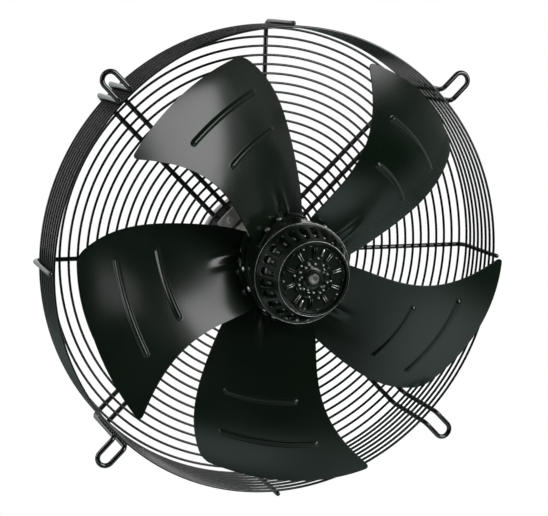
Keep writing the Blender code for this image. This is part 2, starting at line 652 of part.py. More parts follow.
def rotor_shell():
    """The rotor can with its vented nose cone, the cage inside it and the cap in its front."""
    slope_out = SHOULDER_LIP
    nose_in = NOSE_R - NOSE_RIM
    wall_in = ROTOR_R - ROTOR_WALL
    ledge_z = CAP_FLOOR_Z - CAP_THICKNESS - GAP
    profile = [(nose_in, NOSE_Z), (NOSE_R, NOSE_Z), (NOSE_R, NOSE_Z - slope_out),
               (ROTOR_R - SHOULDER_LIP, ROTOR_FRONT_Z), (ROTOR_R, ROTOR_FRONT_Z), (ROTOR_R, ROTOR_REAR_Z),
               (wall_in, ROTOR_REAR_Z), (wall_in, ROTOR_FRONT_Z - ROTOR_WALL),
               (nose_in - NOSE_RIM, ledge_z - NOSE_RIM), (nose_in - NOSE_RIM, ledge_z), (nose_in, ledge_z)]
    can = place(turned("rotor_can", profile, ROTOR_SIDES), BLACK_ROTOR, ROTOR_AXIS)
    lean = math.atan2(ROTOR_R - NOSE_R, NOSE_Z - ROTOR_FRONT_Z)
    cup_r = (ROTOR_R + NOSE_R) / 2 - SHOULDER_LIP / 2
    cup_z = (ROTOR_FRONT_Z + NOSE_Z) / 2 - SHOULDER_LIP / 2
    cuts = []
    for index in range(CUP_COUNT):
        turn = 2 * math.pi * (index + 0.5) / CUP_COUNT
        cup = block("cup", (CUP_CUT_DEPTH, CUP_WIDTH, CUP_LENGTH), polar(cup_r, turn, cup_z))
        cup.rotation_euler = (0, -lean, turn)
        cuts.append(cup)
    cuts += [rivet_body("hole", blade, share, HOLE_CLEARANCE) for blade in range(BLADE_COUNT)
             for share in RIVET_COLUMN_SHARES]
    boolean(can, as_cutter(joined("can_cuts", cuts), ROTOR_AXIS))
    cage_in = CAGE_R - CAGE_THICKNESS
    cage = place(turned("rotor_cage", tube_profile(cage_in, CAGE_R, -HALF_STACK, HALF_STACK + CAGE_END_RING),
                        ROTOR_SIDES), LAMINATION, ROTOR_AXIS)
    pin_low = HALF_STACK + CAGE_END_RING - WELD
    pin_r = cage_in + CAGE_PIN_D / 2 + WELD
    pins = [rod("pin", CAGE_PIN_D / 2, pin_low, pin_low + CAGE_PIN_LENGTH, PIN_SIDES,
                polar(pin_r, 2 * math.pi * (i + 0.5) / CUP_COUNT)[:2]) for i in range(CUP_COUNT)]
    boolean(cage, as_cutter(joined("cage_pins", pins), ROTOR_AXIS), "UNION")


def rotor_cap():
    """The recessed disc at the nose, with its hub on the shaft and short ribs round its rim."""
    bore = SHAFT_R + GAP
    rim = NOSE_R - NOSE_RIM - GAP
    floor_z = CAP_FLOOR_Z
    hub_z = floor_z + CAP_RECESS - GAP
    hub_low = floor_z - CAP_THICKNESS - CAP_HUB_H
    profile = [(bore, hub_z), (CAP_HUB_R, hub_z), (CAP_HUB_R, floor_z), (rim, floor_z),
               (rim, floor_z - CAP_THICKNESS), (CAP_HUB_R, floor_z - CAP_THICKNESS), (CAP_HUB_R, hub_low),
               (bore, hub_low)]
    cap = place(turned("rotor_front_cap", profile, ROTOR_SIDES), BLACK_ROTOR, ROTOR_AXIS)
    middle = rim - OVERRUN - CAP_RIB_LENGTH / 2
    height = CAP_RIB_H + WELD
    ribs = []
    for index in range(CAP_RIB_COUNT):
        turn = 2 * math.pi * index / CAP_RIB_COUNT
        centre = polar(middle, turn, floor_z - WELD + height / 2)
        ribs.append(block("rib", (CAP_RIB_LENGTH, CAP_RIB_WIDTH, height), centre, turn))
    boolean(cap, as_cutter(joined("cap_ribs", ribs), ROTOR_AXIS), "UNION")


def through_stations(values, share):
    """The cubic through four evenly spaced stations, read at a share of the way along."""
    total = 0.0
    for i, value in enumerate(values):
        weight = 1.0
        for j in range(len(values)):
            if j != i:
                weight *= (share * (len(values) - 1) - j) / (i - j)
        total += weight * value
    return total


def blade_point(span, chord, radius=None):
    """A point of the blade's middle surface at shares of its span and of its chord."""
    front = math.radians(through_stations(FRONT_EDGE_DEG, span))
    rear = math.radians(through_stations(REAR_EDGE_DEG, span))
    front_z = BLADE_FRONT_REACH * through_stations(FRONT_EDGE_SHARES, span)
    rear_z = -BLADE_REAR_REACH * through_stations(REAR_EDGE_SHARES, span)
    bulge = BLADE_CAMBER * 4 * chord * (1 - chord) * math.sqrt(span)
    angle = front + (rear - front) * chord
    if radius is None:
        radius = FOOT_R + (BLADE_TIP_R - FOOT_R) * span
    return radius, angle, front_z + (rear_z - front_z) * chord + bulge


def foot_point(chord, forward):
    """A point of the foot that lies on the rotor can, this far forward of the blade's root."""
    radius, angle, z = blade_point(0, chord)
    return radius, angle, z + forward


def tip_limit(chord):
    """The share of the span that the sheet reaches, less at the two rounded tip corners."""
    front = blade_point(1, 0)
    rear = blade_point(1, 1)
    chord_length = math.hypot(BLADE_TIP_R * (front[1] - rear[1]), front[2] - rear[2])
    inset = min(chord, 1 - chord) * chord_length
    if inset >= BLADE_CORNER_R:
        return 1.0
    short = BLADE_CORNER_R - math.sqrt(BLADE_CORNER_R ** 2 - (BLADE_CORNER_R - inset) ** 2)
    return 1 - short / (BLADE_TIP_R - FOOT_R)


def blade_mesh():
    """The middle surface of one blade: foot, bend at the root, and the swept and cambered sheet."""
    columns = BLADE_COLUMN_SHARES
    bm = bmesh.new()
    bmesh.ops.create_grid(bm, x_segments=len(columns) - 1, y_segments=BLADE_ROW_COUNT + 1, size=0.5)
    for vert in bm.verts:
        column = round((vert.co.x + 0.5) * (len(columns) - 1))
        row = round((vert.co.y + 0.5) * (BLADE_ROW_COUNT + 1))
        chord = columns[column]
        if row == 0:
            radius, angle, z = foot_point(chord, BLADE_FOOT)
        else:
            span = (row - 1) / BLADE_ROW_COUNT * tip_limit(chord)
            radius, angle, z = blade_point(span, chord)
        vert.co = polar(radius, angle, z)
    mesh = bpy.data.meshes.new("blade")
    bm.to_mesh(mesh)
    bm.free()
    mesh.shade_smooth()
    return mesh


def rivet_body(name, blade, share, clearance=0.0):
    """The bar of a rivet through a blade's foot and the can, or the hole for it."""
    radius, angle, z = foot_point(share, RIVET_RISE)
    angle -= 2 * math.pi / BLADE_COUNT * blade
    low = ROTOR_R - ROTOR_WALL - (OVERRUN if clearance else -GAP)
    high = radius + BLADE_SHEET / 2 + (OVERRUN if clearance else GAP + WELD)
    bm = bmesh.new()
    size = RIVET_D / 2 + clearance
    bmesh.ops.create_cone(bm, cap_ends=True, segments=SMALL_SIDES, radius1=size, radius2=size,
                          depth=high - low)
    obj = mesh_object(name, bm)
    obj.location = polar((low + high) / 2, angle, z)
    obj.rotation_euler = (0, math.pi / 2, angle)
    return obj


def rivet(name, blade, share):
    """A flat-headed rivet that holds a blade's foot to the can."""
    radius, angle, z = foot_point(share, RIVET_RISE)
    angle -= 2 * math.pi / BLADE_COUNT * blade
    bar_low = ROTOR_R - ROTOR_WALL + GAP
    seat = radius + BLADE_SHEET / 2 + GAP
    top = seat + RIVET_HEAD_H
    head_r = RIVET_HEAD_D / 2
    edge = seat + RIVET_HEAD_H * RIVET_EDGE_SHARE
    outline = [(0, top), (head_r * RIVET_FLAT_SHARE, top), (head_r, edge), (head_r, seat),
               (RIVET_D / 2, seat), (RIVET_D / 2, bar_low), (0, bar_low)]
    obj = place(turned(name, outline, SMALL_SIDES), STEEL, ROTOR_AXIS)
    obj.rotation_euler = (0, math.pi / 2, angle)
    obj.location = (0, 0, z)


def impeller():
    """Five blades from one mesh, each with its two rivets."""
    mesh = blade_mesh()
    for index in range(BLADE_COUNT):
        turn = -2 * math.pi / BLADE_COUNT * index
        blade = place(bpy.data.objects.new("blade_%d" % (index + 1), mesh.copy()), BLACK_SHEET, ROTOR_AXIS)
        blade.rotation_euler = (0, 0, turn)
        sheet = blade.modifiers.new("sheet", "SOLIDIFY")
        sheet.thickness = BLADE_SHEET
        sheet.offset = 0
        sheet.use_even_offset = True
        holes = [rivet_body("hole", index, share, HOLE_CLEARANCE) for share in RIVET_COLUMN_SHARES]
        holes.append(rod("seat", ROTOR_R + GAP, ROTOR_REAR_Z, ROTOR_FRONT_Z, ROTOR_SIDES))
        boolean(blade, as_cutter(joined("blade_holes_%d" % (index + 1), holes), ROTOR_AXIS))
        for side, share in zip("ab", RIVET_COLUMN_SHARES):
            rivet("blade_rivet_%d%s" % (index + 1, side), index, share)


def build():
    """Make the whole fan."""
    turns = [math.pi / 2 * (index + 0.5) for index in range(len(CORNER_NAMES))]
    guard()
    for name, turn in zip(CORNER_NAMES, turns):
        bracket("mount_bracket_" + name, turn)
        clamp(name, turn)
    stator_housing(turns)
    terminal_cover()
    bearings()
    stator_pack()
    rotor_shell()
    rotor_cap()
    impeller()
    bpy.context.view_layer.update()


build()
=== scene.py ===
# %% [markdown]
# # Dressing an axial extractor fan
# The plain model of the fan arrives as a fixed frame: every solid is already in its place, in metres.
# This lesson gives it the fine surface that a studio photograph shows: round welded wire, pressed
# blades with their stiffening beads, a cast rotor face with ribs and pins, and black coating over all.

# %% Load the plain model
import json
import math

import bmesh
import bpy
import numpy as np
from mathutils import Matrix, Vector


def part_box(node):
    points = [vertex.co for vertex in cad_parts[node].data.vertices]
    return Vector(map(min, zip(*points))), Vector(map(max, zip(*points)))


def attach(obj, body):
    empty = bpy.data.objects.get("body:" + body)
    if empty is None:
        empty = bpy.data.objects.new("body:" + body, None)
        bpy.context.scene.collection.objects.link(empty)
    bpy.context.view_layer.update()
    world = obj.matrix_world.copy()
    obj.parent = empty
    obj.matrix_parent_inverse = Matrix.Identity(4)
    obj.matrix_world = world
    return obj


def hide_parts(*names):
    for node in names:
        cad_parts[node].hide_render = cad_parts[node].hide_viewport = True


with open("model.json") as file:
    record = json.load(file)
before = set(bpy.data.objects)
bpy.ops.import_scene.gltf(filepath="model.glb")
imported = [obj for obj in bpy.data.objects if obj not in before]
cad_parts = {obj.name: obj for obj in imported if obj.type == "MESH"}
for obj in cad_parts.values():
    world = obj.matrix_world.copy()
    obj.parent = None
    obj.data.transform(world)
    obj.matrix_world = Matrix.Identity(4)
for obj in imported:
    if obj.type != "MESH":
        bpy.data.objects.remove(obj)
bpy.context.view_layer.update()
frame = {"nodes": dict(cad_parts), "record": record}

# %% [markdown]
# ## The fan's own frame
# The axis of a fan is the one line that everything follows, so the shapes are worked out in a frame
# where z runs forward along the axis, x to the right and y up, in millimetres. Its zero is the middle
# of the motor, and the plane that the fixing eyes bear on lies 9.5 mm behind that. The world's zero is
# in the eyes' plane, so one function turns the points into the world's frame at the end, and another
# reads how far a plain solid reaches along the axis.

# %% Points round the axis
MM = 0.001
EYE_SETBACK = 9.5


def polar(radius, angle, height):
    """Points at a radius, an angle round the axis and a height along it, in millimetres."""
    radius, angle, height = np.broadcast_arrays(radius, angle, height)
    return np.stack([radius * np.cos(angle), radius * np.sin(angle), height], axis=-1).astype(float)


def full_turn(steps):
    """Even angles once round the axis."""
    return 2 * np.pi * np.arange(steps) / steps


def swung(points, angle):
    """Points turned round the axis by an angle. Their heights, if they have any, stay."""
    points = np.array(points, float)
    x, y = points[..., 0].copy(), points[..., 1].copy()
    points[..., 0] = x * math.cos(angle) - y * math.sin(angle)
    points[..., 1] = x * math.sin(angle) + y * math.cos(angle)
    return points


def to_world(points):
    """Turn points of the fan's frame, in millimetres, into the world's frame, in metres."""
    points = np.asarray(points, float) * MM
    return np.stack([points[..., 0], -points[..., 2] - EYE_SETBACK * MM, points[..., 1]], axis=-1)


def heights(node):
    """The lowest and highest point of a plain solid along the axis, in the fan's frame."""
    lo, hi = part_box(node)
    return -hi.y / MM - EYE_SETBACK, -lo.y / MM - EYE_SETBACK


print("100 mm forward of the motor's middle is at world", to_world([0.0, 0.0, 100.0]))

# %% [markdown]
# ## The camera
# The photograph looks at the open mouth from a little to the left and a little above, with a long lens.
# A camera could be aimed by a Track To constraint. Here its matrix is built from three directions, so
# that it also keeps the photograph's slight roll. The numbers come from matching the guard's rings.

# %% Set up the camera
def into_scene(name, data):
    """A new object of the scene that shows a mesh, a lamp or a camera."""
    obj = bpy.data.objects.new(name, data)
    bpy.context.scene.collection.objects.link(obj)
    return obj


def look(name, place, target, up):
    """A camera at a place that looks at a target, with the given direction upright."""
    back = (Vector(place) - Vector(target)).normalized()
    right = Vector(up).cross(back).normalized()
    turn = Matrix((right, back.cross(right), back)).transposed().to_4x4()
    camera = into_scene(name, bpy.data.cameras.new(name))
    camera.matrix_world = Matrix.Translation(place) @ turn
    return camera


CAMERA_PLACE, CAMERA_TARGET = (-0.8236, -2.0226, 0.4154), (-0.0616, -0.1035, 0.0324)
CAMERA_UP = (0.0375, 0.1812, 0.9827)
camera = look("photo_camera", CAMERA_PLACE, CAMERA_TARGET, CAMERA_UP)
camera.data.lens = 106.37
camera.data.sensor_width = 36
camera.data.clip_start, camera.data.clip_end = 0.05, 60
bpy.context.scene.camera = camera
bpy.context.scene.view_settings.view_transform = "Standard"
print("camera", round(camera.location.length, 2), "m from the mouth")

# %% [markdown]
# ## Shader maths
# A material is a small formula. It could be drawn as a net of nodes, but written as a formula it stays
# readable, so this class wraps a socket and lets Python's operators add the Math nodes. Every other
# node comes from `make`, which sets the node's own settings first and its sockets after.

# %% A socket that can be calculated with
class Signal:
    """A shader socket that can be added, subtracted, multiplied and divided."""

    def __init__(self, tree, socket=None):
        self.tree = tree
        self.socket = socket

    def make(self, kind, settings=(), sockets=(), output=0):
        """Any node: its settings, the values or signals of its sockets, and the output to go on from."""
        node = self.tree.nodes.new(kind)
        for key, value in dict(settings).items():
            setattr(node, key, value)
        for key, value in dict(sockets).items():
            if isinstance(value, Signal):
                self.tree.links.new(value.socket, node.inputs[key])
            else:
                node.inputs[key].default_value = value
        return Signal(self.tree, node.outputs[output] if len(node.outputs) else None)

    def math(self, operation, first, second):
        return self.make("ShaderNodeMath", {"operation": operation}, {0: first, 1: second})

    def __add__(self, other):
        return self.math("ADD", self, other)

    __radd__ = __add__

    def __sub__(self, other):
        return self.math("SUBTRACT", self, other)

    def __rsub__(self, other):
        return self.math("SUBTRACT", other, self)

    def __mul__(self, other):
        return self.math("MULTIPLY", self, other)

    __rmul__ = __mul__

    def __truediv__(self, other):
        return self.math("DIVIDE", self, other)

    def __rtruediv__(self, other):
        return self.math("DIVIDE", other, self)

    def part(self, axis):
        """One coordinate of a vector, named X, Y or Z."""
        return self.make("ShaderNodeSeparateXYZ", (), {"Vector": self}, axis)

    def step(self, low, high):
        """A soft step from 0 to 1 between two values."""
        settings = {"interpolation_type": "SMOOTHSTEP"}
        return self.make("ShaderNodeMapRange", settings, {"Value": self, "From Min": low, "From Max": high})

    def tint(self, low, high):
        """A colour between two, mixed by this value."""
        sockets = {"Factor": self, 6: (*low, 1), 7: (*high, 1)}
        return self.make("ShaderNodeMix", {"data_type": "RGBA"}, sockets, 2)


print("a signal can", [name for name in vars(Signal) if not name.startswith("_")])

# %% [markdown]
# ## Starting and finishing a material
# Every finish below ends in one Principled shader. Noise could follow the faces through a UV map, but
# these meshes need none: it is read from object coordinates, which are the fan's real metres, so the
# grain of a coating keeps its size on a thin wire and on a wide blade.

# %% Helpers that open and close a material
def start(name):
    """A new material, and the signal that its other nodes hang on."""
    material = bpy.data.materials.new(name)
    material.use_nodes = True
    material.node_tree.nodes.clear()
    return material, Signal(material.node_tree)


def surface_place(paint):
    return paint.make("ShaderNodeTexCoord", output="Object")


def noise(paint, scale, detail=3.0, roughness=0.5):
    return paint.make("ShaderNodeTexNoise", (), {"Vector": surface_place(paint), "Scale": scale,
                                                 "Detail": detail, "Roughness": roughness})


def bumped(paint, height, strength, distance):
    return paint.make("ShaderNodeBump", (), {"Height": height, "Strength": strength, "Distance": distance})


def close(paint, colour, roughness, metallic=0.0, normal=None, **fixed):
    """The Principled shader that ends a material; fixed sets sockets that are the same all over."""
    sockets = {"Base Color": colour, "Roughness": roughness, "Metallic": metallic}
    if normal:
        sockets["Normal"] = normal
    sockets.update({key.replace("_", " "): value for key, value in fixed.items()})
    shader = paint.make("ShaderNodeBsdfPrincipled", (), sockets)
    paint.make("ShaderNodeOutputMaterial", (), {"Surface": shader})


print("noise of scale 300 repeats about every", round(1000 / 300, 1), "mm")

# %% [markdown]
# ## Black coating
# Wire, blades and rotor are powder coated or dipped black. What tells them apart in the photograph is
# gloss: wire is wet and sharp, the blades spread a soft window light over a hand's width, and the cast
# rotor is duller. The colour itself is almost black with a faint green cast. One flat black would look
# like a hole, so fine bumps stand for the coating's orange peel, slow changes of roughness for uneven
# film thickness and handling, and small rough specks for dust.

# %% Black coated wire, sheet and rotor
def black_coating(name, dark, light, rough_low, rough_high, peel_scale, peel_height, shine=0.5):
    material, paint = start(name)
    cloud = noise(paint, 9, 4)
    peel = noise(paint, peel_scale, 2)
    dust = noise(paint, 2600, 1).step(0.66, 0.78)
    rough = cloud.step(0.35, 0.7) * (rough_high - rough_low) + rough_low + dust * 0.12
    close(paint, cloud.step(0.3, 0.75).tint(dark, light), rough,
          normal=bumped(paint, peel, 0.35, peel_height), Specular_IOR_Level=shine)
    return material


BLACK_WIRE = black_coating("black_wire", (0.0028, 0.0036, 0.003), (0.0045, 0.0058, 0.0048),
                           0.09, 0.14, 900, 0.00002, 0.85)
BLACK_SHEET = black_coating("black_sheet", (0.0035, 0.0085, 0.0045), (0.005, 0.0112, 0.0065),
                            0.2, 0.26, 700, 0.00004)
BLACK_ROTOR = black_coating("black_rotor", (0.003, 0.0075, 0.004), (0.0055, 0.011, 0.0065),
                            0.17, 0.28, 420, 0.00014)
print("black finishes:", BLACK_WIRE.name, BLACK_SHEET.name, BLACK_ROTOR.name)

# %% [markdown]
# ## Bare metals
# The shaft's end is turned steel, so fine rings run round it: noise of the distance from the axis draws
# them. Rivets and the pins of the rotor show bare metal where the black film is rubbed off, so a noise
# mask chooses between metal and film. On the rib tops and rims of the rotor the same pale metal is partly
# wear and partly painted highlight, the pale line where their edges catch the light. The motor's flange
# is cast: matte, grey and slightly rough. Plates and screws are zinc plated, which is paler and a little
# blotchy.

# %% Turned steel, rubbed casting, cast flange and zinc
def turned_steel(name, colour, rings):
    material, paint = start(name)
    x, z = surface_place(paint).part("X"), surface_place(paint).part("Z")
    radius = paint.math("POWER", x * x + z * z, 0.5)
    grooves = paint.make("ShaderNodeTexNoise", {"noise_dimensions": "1D"},
                         {"W": radius * rings, "Scale": 1.0})
    stain = noise(paint, 60, 4)
    close(paint, stain.step(0.35, 0.7).tint(tuple(0.75 * c for c in colour), colour), stain * 0.25 + 0.28,
          1.0, bumped(paint, grooves, 0.4, 0.0001))
    return material


def rubbed_metal(name, bare, film, cover_low, cover_high):
    material, paint = start(name)
    cover = noise(paint, 500, 4, 0.6).step(cover_low, cover_high)
    grain = noise(paint, 1500, 2)
    close(paint, cover.tint(bare, film), cover * 0.1 + 0.32, 1.0 - cover * 0.9,
          bumped(paint, grain, 0.3, 0.0001))
    return material


def cast_metal(name, low, high, scale):
    material, paint = start(name)
    skin = noise(paint, scale, 5, 0.6)
    spots = noise(paint, scale * 4, 2)
    close(paint, skin.step(0.3, 0.7).tint(low, high), skin * 0.25 + 0.42, 0.25,
          bumped(paint, skin * 0.7 + spots * 0.3, 0.6, 0.0003))
    return material


BRIGHT_STEEL = turned_steel("bright_steel", (0.3, 0.3, 0.29), 2600)
RIVET_STEEL = rubbed_metal("rivet_steel", (0.88, 0.88, 0.86), (0.03, 0.03, 0.03), 0.6, 0.7)
# Bare metal of the cage pins and studs. On the rib tops and cross bars it also paints highlights.
PIN_METAL_AND_RIB_HIGHLIGHT = rubbed_metal("rubbed_pin_and_rib_highlight", (0.6, 0.61, 0.59), (0.02, 0.025, 0.02), 0.52, 0.66)
# Pale metal for the thin rim rings: it paints the rims' highlight as well as their wear.
RIM_HIGHLIGHT_AND_WEAR = rubbed_metal("rim_highlight_and_wear", (0.5, 0.51, 0.49), (0.03, 0.035, 0.03), 0.5, 0.7)
CAST_HOUSING = cast_metal("cast_housing", (0.42, 0.42, 0.41), (0.58, 0.58, 0.565), 220)
ZINC_PLATE = cast_metal("zinc_plate", (0.48, 0.49, 0.49), (0.62, 0.62, 0.59), 90)
print("metal finishes:", BRIGHT_STEEL.name, RIVET_STEEL.name, CAST_HOUSING.name, ZINC_PLATE.name)

# %% [markdown]
# ## Inside the motor
# Stacked electrical sheet shows as fine lines across the axis, and the winding as strands of enamelled
# copper. Both are inside, but whoever takes the rotor off will see them, so each has its own finish.
# Modelling every sheet and strand would cost far more faces than it shows, so the lines are bumps.

# %% Lamination stack, copper winding and moulded plastic
SHEET_LINE = 0.00035


def laminated(name):
    material, paint = start(name)
    along_axis = surface_place(paint).part("Y")
    sheets = paint.math("PINGPONG", along_axis, SHEET_LINE) / SHEET_LINE
    rust = noise(paint, 140, 3)
    tone = (sheets * 0.5 + rust * 0.5).step(0.2, 0.8)
    close(paint, tone.tint((0.09, 0.085, 0.08), (0.24, 0.24, 0.235)), rust * 0.2 + 0.4, 0.8,
          bumped(paint, sheets, 0.5, 0.0001))
    return material


def strands(name):
    material, paint = start(name)
    settings = {"wave_type": "BANDS", "bands_direction": "DIAGONAL"}
    wave = paint.make("ShaderNodeTexWave", settings, {"Vector": surface_place(paint), "Scale": 300,
                                                      "Distortion": 2.5, "Detail": 2}, "Fac")
    tone = noise(paint, 80, 3)
    close(paint, (wave * 0.6 + tone * 0.4).tint((0.10, 0.025, 0.01), (0.50, 0.19, 0.08)),
          tone * 0.2 + 0.25, 0.7, bumped(paint, wave, 0.8, 0.0004))
    return material


def moulded(name):
    material, paint = start(name)
    grain = noise(paint, 1400, 3)
    sheen = noise(paint, 25, 2)
    close(paint, sheen.tint((0.012, 0.012, 0.012), (0.02, 0.02, 0.02)), sheen * 0.15 + 0.42, 0.0,
          bumped(paint, grain, 0.4, 0.0001))
    return material


LAMINATION = laminated("lamination_steel")
COPPER = strands("enamelled_copper")
PLASTIC = moulded("black_plastic")
FINISHES = {"black_wire": BLACK_WIRE, "black_sheet": BLACK_SHEET, "black_rotor": BLACK_ROTOR,
            "bright_steel": BRIGHT_STEEL, "rivet_steel": RIVET_STEEL, "cast_housing": CAST_HOUSING,
            "zinc_plate": ZINC_PLATE, "lamination_steel": LAMINATION, "enamelled_copper": COPPER,
            "black_plastic": PLASTIC}
print(len(FINISHES), "finishes")

# %% [markdown]
# ## Finishing the plain solids
# Every plain solid gets its finish, also those that a finer piece replaces below. The record says
# which finish each one has. A solid's mesh is left alone: the finish goes into the object's own slots.

# %% Give every plain solid its finish
for row in frame["record"]["subparts"]:
    solid = frame["nodes"][row["node"]]
    for material_slot in solid.material_slots:
        material_slot.link = "OBJECT"
        material_slot.material = FINISHES[row["material_slot"]]
print("finished", len(frame["nodes"]), "plain solids")

# %% [markdown]
# ## Meshes from grids
# Wires, turned parts and pressed sheet are all grids of points that are bent into shape. Blender could
# make them from bevelled curves and Screw modifiers, but one grid function serves them all and gives
# exact faces. So one function numbers a grid's faces, one stacks rings into a closed body, one lays a
# round wire along a path and one turns an outline round the axis.

# %% Faces of a grid, wires and turned shapes
def grid_faces(rows, columns, round_rows=False, round_columns=False):
    """Four-sided faces over a grid of points; a round direction joins its end to its start."""
    r = np.arange(rows if round_rows else rows - 1)
    c = np.arange(columns if round_columns else columns - 1)
    r, c = np.meshgrid(r, c, indexing="ij")
    row, next_row = r * columns, (r + 1) % rows * columns
    across = (c + 1) % columns
    faces = np.stack([row + c, row + across, next_row + across, next_row + c], -1)
    return [tuple(face) for face in faces.reshape(-1, 4).tolist()]


def stacked(rings):
    """Rings of points laid one on the other and closed at both ends."""
    count = len(rings[0])
    last = (len(rings) - 1) * count
    ends = [tuple(range(count))[::-1], tuple(range(last, last + count))]
    return np.vstack(rings), grid_faces(len(rings), count, False, True) + ends


def tube(path, radius, sides=12, closed=False):
    """A round wire along a path. An open one gets rounded ends."""
    path = np.asarray(path, float)
    radii = np.full(len(path), float(radius))
    if not closed:
        first, last = path[0] - path[1], path[-1] - path[-2]
        first, last = first / np.linalg.norm(first), last / np.linalg.norm(last)
        caps = np.radians([80, 55, 25])
        starts = [path[0] + first * radius * 0.6 * math.sin(a) for a in caps]
        ends = [path[-1] + last * radius * 0.6 * math.sin(a) for a in caps[::-1]]
        path = np.vstack([starts, path, ends])
        radii = np.concatenate([radius * np.cos(caps), radii, radius * np.cos(caps[::-1])])
    ahead = np.roll(path, -1, 0) - np.roll(path, 1, 0) if closed else np.gradient(path, axis=0)
    ahead /= np.linalg.norm(ahead, axis=1)[:, None]
    aside = np.cross(ahead[0], [0.3, 0.5, 0.81])
    asides = []
    for step in ahead:
        aside = aside - step * aside.dot(step)
        aside /= np.linalg.norm(aside)
        asides.append(aside)
    across = np.cross(ahead, asides)
    turn = full_turn(sides)[None, :, None]
    rings = np.cos(turn) * np.array(asides)[:, None] + np.sin(turn) * across[:, None]
    points = path[:, None] + radii[:, None, None] * rings
    return (points.reshape(-1, 3), grid_faces(len(path), sides, True, True)) if closed else stacked(points)


def turned(outline, steps=96, centre=(0.0, 0.0)):
    """An outline of (radius, height) points turned round the axis, or round a line beside it."""
    outline = np.array(outline, float)
    after = np.roll(outline, -1, 0)
    area = (outline[:, 0] * after[:, 1] - after[:, 0] * outline[:, 1]).sum() / 2
    outline = outline if area > 0 else outline[::-1]
    on_axis = outline[:, 0] < 1e-6
    open_ended = bool(on_axis.any())
    if open_ended:
        outline = np.roll(outline, -np.nonzero(on_axis & np.roll(on_axis, 1))[0][0], 0)
    points = polar(outline[:, :1], full_turn(steps), outline[:, 1:]).reshape(-1, 3)
    points[:, :2] += centre
    return points, grid_faces(len(outline), steps, not open_ended, True)


print("a ring of 8 by 6 points has", len(grid_faces(8, 6, True, True)), "faces")

# %% [markdown]
# ## Soft corners
# No real edge is a knife edge, and the thin bright lines along rims come from that small radius. A
# Bevel modifier could round the finished mesh, but it also finds edges that should stay. So an
# outline's corners are cut by short arcs before it is turned, each with its own radius.

# %% Round the corners of an outline or a path
NEARLY_STRAIGHT = math.radians(88)


def softened(corners, radius, steps=4, closed=True):
    """Replace each corner of a polyline by an arc; radius may be one number or one for each corner."""
    corners = [np.array(corner, float) for corner in corners]
    count = len(corners)
    radii = [radius] * count if np.isscalar(radius) else list(radius)
    points = []
    for index, corner in enumerate(corners):
        if (not closed and index in (0, count - 1)) or radii[index] <= 0:
            points.append(corner)
            continue
        back, ahead = corners[index - 1] - corner, corners[(index + 1) % count] - corner
        back_length, ahead_length = np.linalg.norm(back), np.linalg.norm(ahead)
        back, ahead = back / back_length, ahead / ahead_length
        half = math.acos(np.clip(back.dot(ahead), -1, 1)) / 2
        if half > NEARLY_STRAIGHT:
            points.append(corner)
            continue
        leg = min(radii[index] / math.tan(half), back_length * 0.45, ahead_length * 0.45)
        size = leg * math.tan(half)
        middle = corner + (back + ahead) / np.linalg.norm(back + ahead) * size / math.sin(half)
        start_arm, end_arm = corner + back * leg - middle, corner + ahead * leg - middle
        angle = math.acos(np.clip(start_arm.dot(end_arm) / size ** 2, -1, 1))
        for share in np.arange(steps + 1) / steps:
            points.append(middle + (math.sin((1 - share) * angle) * start_arm
                                    + math.sin(share * angle) * end_arm) / math.sin(angle))
    return np.array(points)


print("a square with soft corners has", len(softened([(0, 0), (9, 0), (9, 9), (0, 9)], 2)), "points")

# %% [markdown]
# ## From points to pieces
# A piece is one object that rides on a body of the fan: the fixed frame, or the rotor that spins. It
# gets its finish and hides the plain solids that it stands for. Where a shape's points coincide, as on
# an axis, they are welded, so that the surface has no slits or stray faces.

# %% Join shapes and make a piece
def merged(*shapes):
    """Several shapes as one list of points and one of faces."""
    points, faces, start_at = [], [], 0
    for shape_points, shape_faces in shapes:
        points.append(shape_points)
        faces += [tuple(corner + start_at for corner in face) for face in shape_faces]
        start_at += len(shape_points)
    return np.vstack(points), faces


def mesh_of(name, shape, weld):
    """A mesh in the world's frame, with the points that coincide joined where weld is true."""
    points, faces = shape
    mesh = bpy.data.meshes.new(name)
    mesh.from_pydata(to_world(points).tolist(), [], faces)
    if weld:
        bm = bmesh.new()
        bm.from_mesh(mesh)
        bmesh.ops.remove_doubles(bm, verts=bm.verts, dist=0.000001)
        bmesh.ops.dissolve_degenerate(bm, edges=bm.edges, dist=0.0000005)
        bm.to_mesh(mesh)
        bm.free()
    return mesh


def piece(name, shape, material, body, replaces=(), sharp=None, weld=False):
    """An object made of a shape, with its finish, that rides on a body."""
    mesh = mesh_of(name, shape, weld)
    mesh.shade_smooth()
    if sharp:
        mesh.set_sharp_from_angle(angle=math.radians(sharp))
    mesh.materials.append(material)
    obj = into_scene(name, mesh)
    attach(obj, body)
    if replaces:
        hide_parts(*replaces)
    print(name, len(mesh.vertices), "points")
    return obj


# %% [markdown]
# ## The basket guard
# The guard is drawn wire: 3.6 mm rings, flat over the face and stepped up the side wall, and four 6.5 mm
# spokes that run out along the face, bend at the corner and climb the wall. Each crossing is a
# resistance weld, where the wires sink a little into each other and squeeze out a small bead.

# %% Sizes of the guard
RING_WIRE, SPOKE_WIRE, BRACKET_WIRE = 3.6, 6.5, 6.9
FACE_Z, CORNER_Z, MOUTH_Z = -114.6, -99.9, -18.7
FACE_OUTER, FACE_PITCH, WALL_R, WALL_FLARE = 319.5, 12.8, 324.0, 1.1
WIRE_START = 59.5
SINK = 0.3


def wall_radius(z):
    """The radius of the side wall's rings at a height along the axis."""
    return WALL_R + WALL_FLARE * (z - CORNER_Z) / (MOUTH_Z - CORNER_Z)


